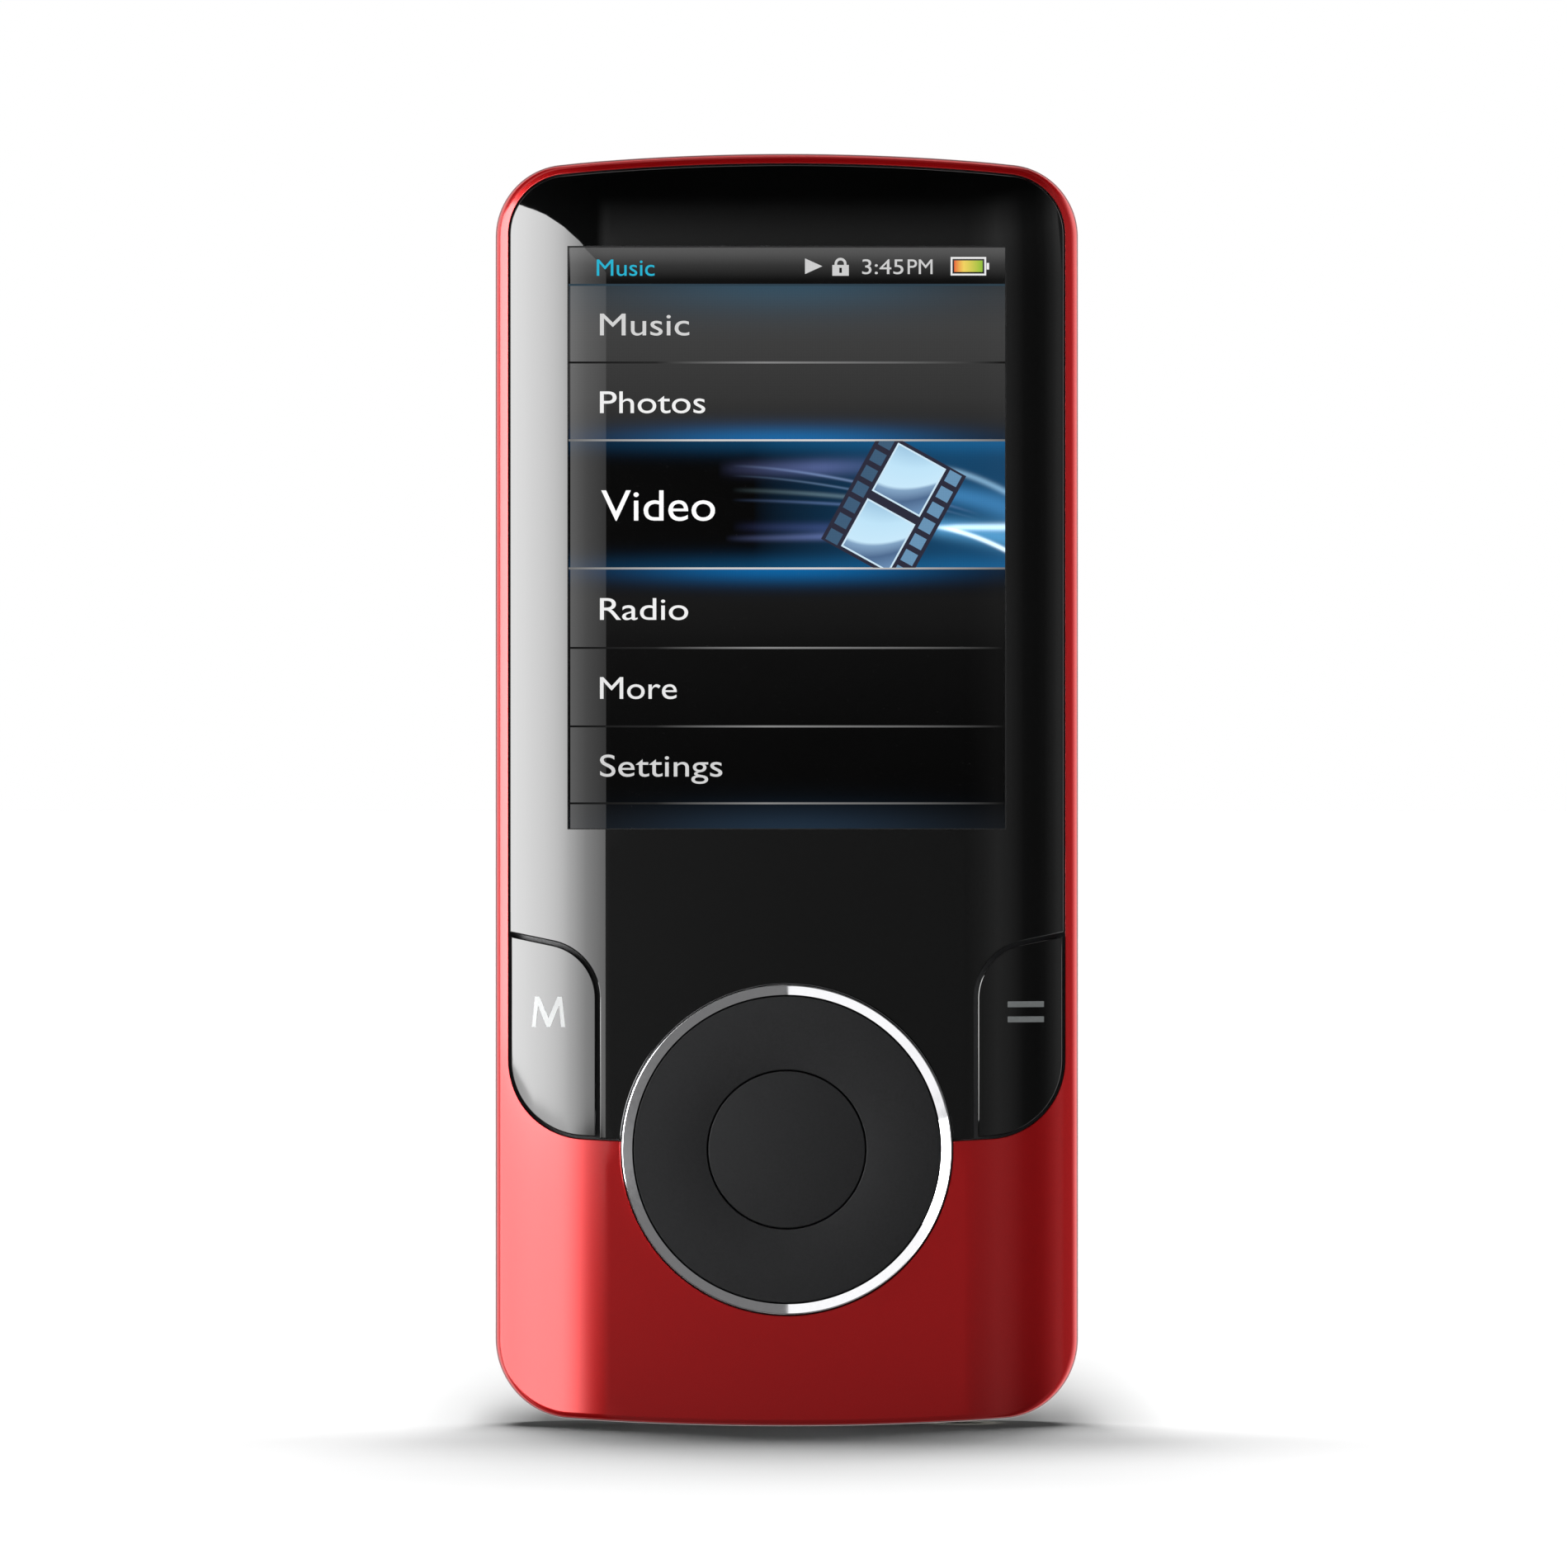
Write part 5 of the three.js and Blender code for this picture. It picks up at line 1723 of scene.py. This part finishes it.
CAD_MATERIALS = {
    "window_adhesive": "adhesive", "pad_cushion": "silicone", "lcd_gasket": "foam",
    "lcd_backlight": "white_plastic", "lcd_tray": "steel", "lcd_flex_cable": "polyimide",
    "lcd_connector": "black_plastic", "main_board": "solder_mask", "processor_chip": "chip_epoxy",
    "flash_memory_chip": "chip_epoxy", "power_chip": "chip_epoxy", "radio_chip": "chip_epoxy",
    "inductor": "foam", "clock_crystal": "nickel", "battery": "battery_foil",
    "battery_tape": "white_plastic", "battery_lead_positive": "red_wire",
    "battery_lead_negative": "black_wire", "hold_switch_case": "steel",
    "hold_switch_stem": "black_plastic", "board_screw_1": "steel", "board_screw_2": "steel",
    "board_screw_3": "steel",
}


def dress_cad_nodes():
    """Gives a material to each CAD node that no piece replaces."""
    for name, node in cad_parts.items():
        if node.hide_render:
            continue
        material = "nickel" if name.startswith("dome_switch") else CAD_MATERIALS[name]
        node.data.materials.clear()
        node.data.materials.append(MATERIALS[material])


# ---------------------------------------------------------------- floor, light and surroundings

PANEL_X = -400.0  # the tall soft light on the left runs back past the camera at this x
FILM_FRONT = -16.0  # where the film of painted shadow over the floor begins
ROOM = 3.0  # brightest value of the mirrored room


def stage_object(name, points, faces, material):
    """Something round the player that isn't part of it, from points in millimetres."""
    data = bpy.data.meshes.new(name)
    data.from_pydata([tuple(c * MM for c in p) for p in points], [], faces)
    data.materials.append(material)
    thing = linked(name, data)
    return thing


def floor():
    """A wide pale floor, left out of reflections."""
    material, nodes, shader = new_material("floor")
    speck = nodes.noise(nodes.place(), 0.02, 2.0)
    colour = nodes.ramp(speck, [(0.3, (0.9, 0.9, 0.9, 1)), (0.7, (0.92, 0.92, 0.92, 1))])
    connect(nodes, colour, shader, "Base Color")
    shader.inputs["Roughness"].default_value = 0.9
    shader.inputs["Specular IOR Level"].default_value = 0.0
    half = 20000.0
    corners = [(-half, -half, 0), (half, -half, 0), (half, half, 0), (-half, half, 0)]
    plane = stage_object("floor", corners, [(0, 1, 2, 3)], material)
    plane.visible_glossy = False
    plane.visible_shadow = False


def glowing(name):
    """A light surface whose radiance is the mesh's own glow attribute."""
    material, nodes = empty_material(name)
    glow = nodes.put("ShaderNodeAttribute", attribute_name="glow").outputs["Fac"]
    put_out(nodes, nodes.put("ShaderNodeEmission", {"Color": (1, 1, 1, 1), "Strength": glow}))
    return material


def seen_only_by(thing, kept):
    for ray in ("camera", "diffuse", "glossy", "transmission", "volume_scatter", "shadow"):
        setattr(thing, f"visible_{ray}", ray == kept)


def give_glow(thing, values):
    glow = thing.data.attributes.new("glow", "FLOAT", "POINT")
    for place, value in zip(glow.data, values):
        place.value = value


def left_wall():
    """The tall soft light on the left. The window mirrors it above its seam line, the chin below.

    Each stop is an angle off the view's axis, the heights of the wall's foot, seam line and top,
    and its radiance below and above the seam line."""
    stops = [
        (3.9, -420, -150, 610, 0.0, 3.15), (4.8, -330, -115, 569, 0.0, 3.3),
        (6.5, -260, -75, 505, 0.05, 3.5), (8.1, -220, -55, 463, 0.1, 3.75),
        (11.5, -170, -33, 411, 0.3, 4.3), (15.0, -140, -20, 375, 1.0, 4.9),
        (17.7, -125, -14, 356, 1.8, 5.4), (22.7, -105, -7, 338, 4.2, 7.1),
        (29, -90, -2, 315, 6.8, 9.3), (34, -85, 3, 303, 8.3, 11.5),
        (40, -80, 6, 286, 8.5, 13.2), (47.5, -75, 9, 269, 8.3, 14.7),
        (55, -75, 11, 251, 8.2, 15.6), (63, -70, 14, 234, 7.6, 16.5),
        (73, -70, 17, 217, 6.6, 16.8), (78, -70, 18, 210, 6.4, 12.5),
        (82, -70, 19, 205, 6.2, 11.0), (90, -70, 19, 200, 5.8, 9.5),
        (95, -70, 19, 200, 5.0, 7.0),
    ]
    points, faces, values = [], [], []
    for i, (angle, foot, seam, top, below, above) in enumerate(stops):
        y = PANEL_X / math.tan(math.radians(angle))
        points += [(PANEL_X, y, height) for height in (foot, seam, seam, top)]
        values += [below, below, above, above]
        if i:
            faces += [(n - 4, n, n + 1, n - 3) for n in (4 * i, 4 * i + 2)]
    wall = stage_object("left_light", points, faces, glowing("left_light"))
    give_glow(wall, values)
    seen_only_by(wall, "glossy")


def hoop(name, side, radiance):
    """Half a wide hoop round the pad's axis, which lights one half of the ring's inner slope."""
    points, faces = [], []
    radius, near, far, wider_on_top = 700.0, -115.0, -212.0, -60.0
    turns = np.radians(np.linspace(-89.5, 89.5, 37))
    for i, turn in enumerate(turns):
        x, z = side * radius * math.cos(turn), PAD_Z + radius * math.sin(turn)
        points += [(x, near, z), (x, far + wider_on_top * max(0.0, math.sin(turn)), z)]
        if i:
            faces.append((2 * i - 2, 2 * i, 2 * i + 1, 2 * i - 1))
    thing = stage_object(name, points, faces, glowing(name))
    give_glow(thing, [radiance] * len(points))
    seen_only_by(thing, "glossy")


def floor_film():
    """A film low over the floor, clouded with painted shadow, which dims the light round the
    player's foot.

    It lies under the foot, beside it and behind it, clears with distance, and is clear in front."""
    material, nodes = empty_material("floor_film")
    where = nodes.axes()
    x, back = where["X"], where["Y"]
    aside = nodes.math("ABSOLUTE", x)

    def painted_shadow(clears_from, clears_at, reach, at_left, at_right):
        """Painted shadow near the foot, by how far aside it clears and how far back it reaches."""
        return nodes.product(
            nodes.remap(aside, clears_from, clears_at, 1.0, 0.0),
            nodes.bell(nodes.math("DIVIDE", back, reach)),
            nodes.remap(x, -21.0, 21.0, at_left, at_right))

    # Painted shadow: a wide soft halo, and a darker one close to the foot.
    wide = painted_shadow(20.0, 27.5, 85.0, 0.31, 0.54)
    close = painted_shadow(17.0, 23.0, 30.0, 0.6, 0.32)
    starting = nodes.remap(back, FILM_FRONT, 2.0, 0.0, 1.0)
    in_front = nodes.product(nodes.remap(aside, 17.0, 22.0, 1.0, 0.0),
                             nodes.remap(back, -6.5, -4.5, 1.0, 0.0))
    clear_in_front = nodes.math("SUBTRACT", 1.0, in_front)
    shade = nodes.product(nodes.math("ADD", wide, close), starting, clear_in_front)
    put_out(nodes, nodes.put("ShaderNodeBsdfTransparent", {0: nodes.math("SUBTRACT", 1.0, shade)}))
    half, height, rear = 40.0, 0.05, 220.0
    points = [(x, y, height) for y in (FILM_FRONT, rear) for x in (-half, half)]
    seen_only_by(stage_object("floor_film", points, [(0, 1, 3, 2)], material), "shadow")


def sun(name, azimuth, elevation, strength, width):
    """Parallel light from a direction: azimuth 0 is the camera's side, and 90 the right."""
    data = bpy.data.lights.new(name, "SUN")
    data.energy = strength
    data.angle = math.radians(width)
    lamp = linked(name, data)
    a, e = math.radians(azimuth), math.radians(elevation)
    way = Vector((math.sin(a) * math.cos(e), -math.cos(a) * math.cos(e), math.sin(e)))
    lamp.rotation_euler = way.to_track_quat("Z", "Y").to_euler()
    lamp.visible_glossy = False


def mirrored_room(nodes):
    """What glossy surfaces mirror: soft strips round the player, at some heights only."""
    direction = nodes.put("ShaderNodeTexCoord").outputs["Generated"]
    way = nodes.put("ShaderNodeSeparateXYZ", {0: direction}).outputs
    azimuth = nodes.math("ARCTAN2", way["X"], nodes.math("MULTIPLY", way["Y"], -1.0))
    turn = nodes.remap(azimuth, -math.pi, math.pi, 0.0, 1.0)
    strips = [
        (-180, 0.7), (-150, 0.8), (-125, 1.5), (-105, 1.9), (-97, 0.3), (-80, 0.03), (-10, 0.03),
        (-4, 0.31), (-0.9, 0.3), (-0.5, 0.24), (0, 0.2), (0.6, 0.165), (3, 0.17), (14, 0.25),
        (24, 0.38), (33, 0.28), (43, 0.085), (52, 0.068), (58, 0.10), (64.5, 0.25), (70, 0.46),
        (73, 0.32), (76, 0.2), (80, 0.2), (90, 0.5), (105, 2.0), (125, 1.5), (150, 0.8), (180, 0.7),
    ]
    around = nodes.ramp(turn, [((angle + 180) / 360, value) for angle, value in strips])
    rise = nodes.remap(nodes.math("ARCSINE", way["Z"]), -QUARTER, QUARTER, 0.0, 1.0)
    heights = [
        (-90, 0.8), (-30, 0.9), (0, 1.0), (15, 1.45), (18, 1.2), (22.8, 0.58), (25.2, 0.22),
        (27.5, 0.01), (28.5, 0.0), (55, 0.0), (70, 1.5), (90, 3.0),
    ]
    height = nodes.ramp(rise, [((angle + 90) / 180, value / ROOM) for angle, value in heights])
    behind = nodes.math("GREATER_THAN", way["Y"], 0.3)
    height = nodes.mix(behind, height, (0.4, 0.4, 0.4, 1))
    return nodes.mix(1.0, around, height, "MULTIPLY")


def background(nodes, colour, strength=1.0):
    inputs = {"Color": colour, "Strength": strength}
    return nodes.put("ShaderNodeBackground", inputs).outputs[0]


def by_ray(nodes, ray, chosen, otherwise):
    """One background for a kind of ray, and another for the rest."""
    return nodes.put("ShaderNodeMixShader", {0: ray, 1: otherwise, 2: chosen}).outputs[0]


def surroundings():
    """White behind the player, a dim room with soft strips in reflections, and little else."""
    world = bpy.data.worlds.new("studio")
    bpy.context.scene.world = world
    world.use_nodes = True
    world.node_tree.nodes.clear()
    nodes = Nodes(world.node_tree)
    rays = nodes.put("ShaderNodeLightPath").outputs
    mirrored = background(nodes, mirrored_room(nodes), ROOM)
    dim, white = background(nodes, (0.05, 0.05, 0.05, 1)), background(nodes, (1, 1, 1, 1))
    light = by_ray(nodes, rays["Is Glossy Ray"], mirrored, dim)
    nodes.put("ShaderNodeOutputWorld", {0: by_ray(nodes, rays["Is Camera Ray"], white, light)})


# ---------------------------------------------------------------- building it

front_shell()
rear_shell()
window()
corner_key(-1, "menu_key_cap", "left_menu_key", "left_key")
corner_key(1, "back_key_cap", "right_back_key", "right_key")
light_ink, grey_ink = key_print()
menu_glyph(light_ink)
list_glyph(grey_ink)
trim_ring()
pad_disc()
select_button()
usb_port()
usb_tongue()
headphone_socket()
slider_knob()
case_screws()
display()
dress_cad_nodes()

floor()
floor_film()
left_wall()
hoop("left_hoop", -1, 1.1)
hoop("right_hoop", 1, 0.19)
surroundings()
sun("back_left_sun", -154, 66, 1.4, 18)
sun("back_right_sun", 154, 66, 0.95, 18)
sun("low_back_sun", 180, 51, 1.8, 26)
sun("front_sun", -25, -11, 1.2, 20)
sun("left_sun", -88, -6, 3.0, 10)
sun("right_sun", 117, -6, 8.5, 10)
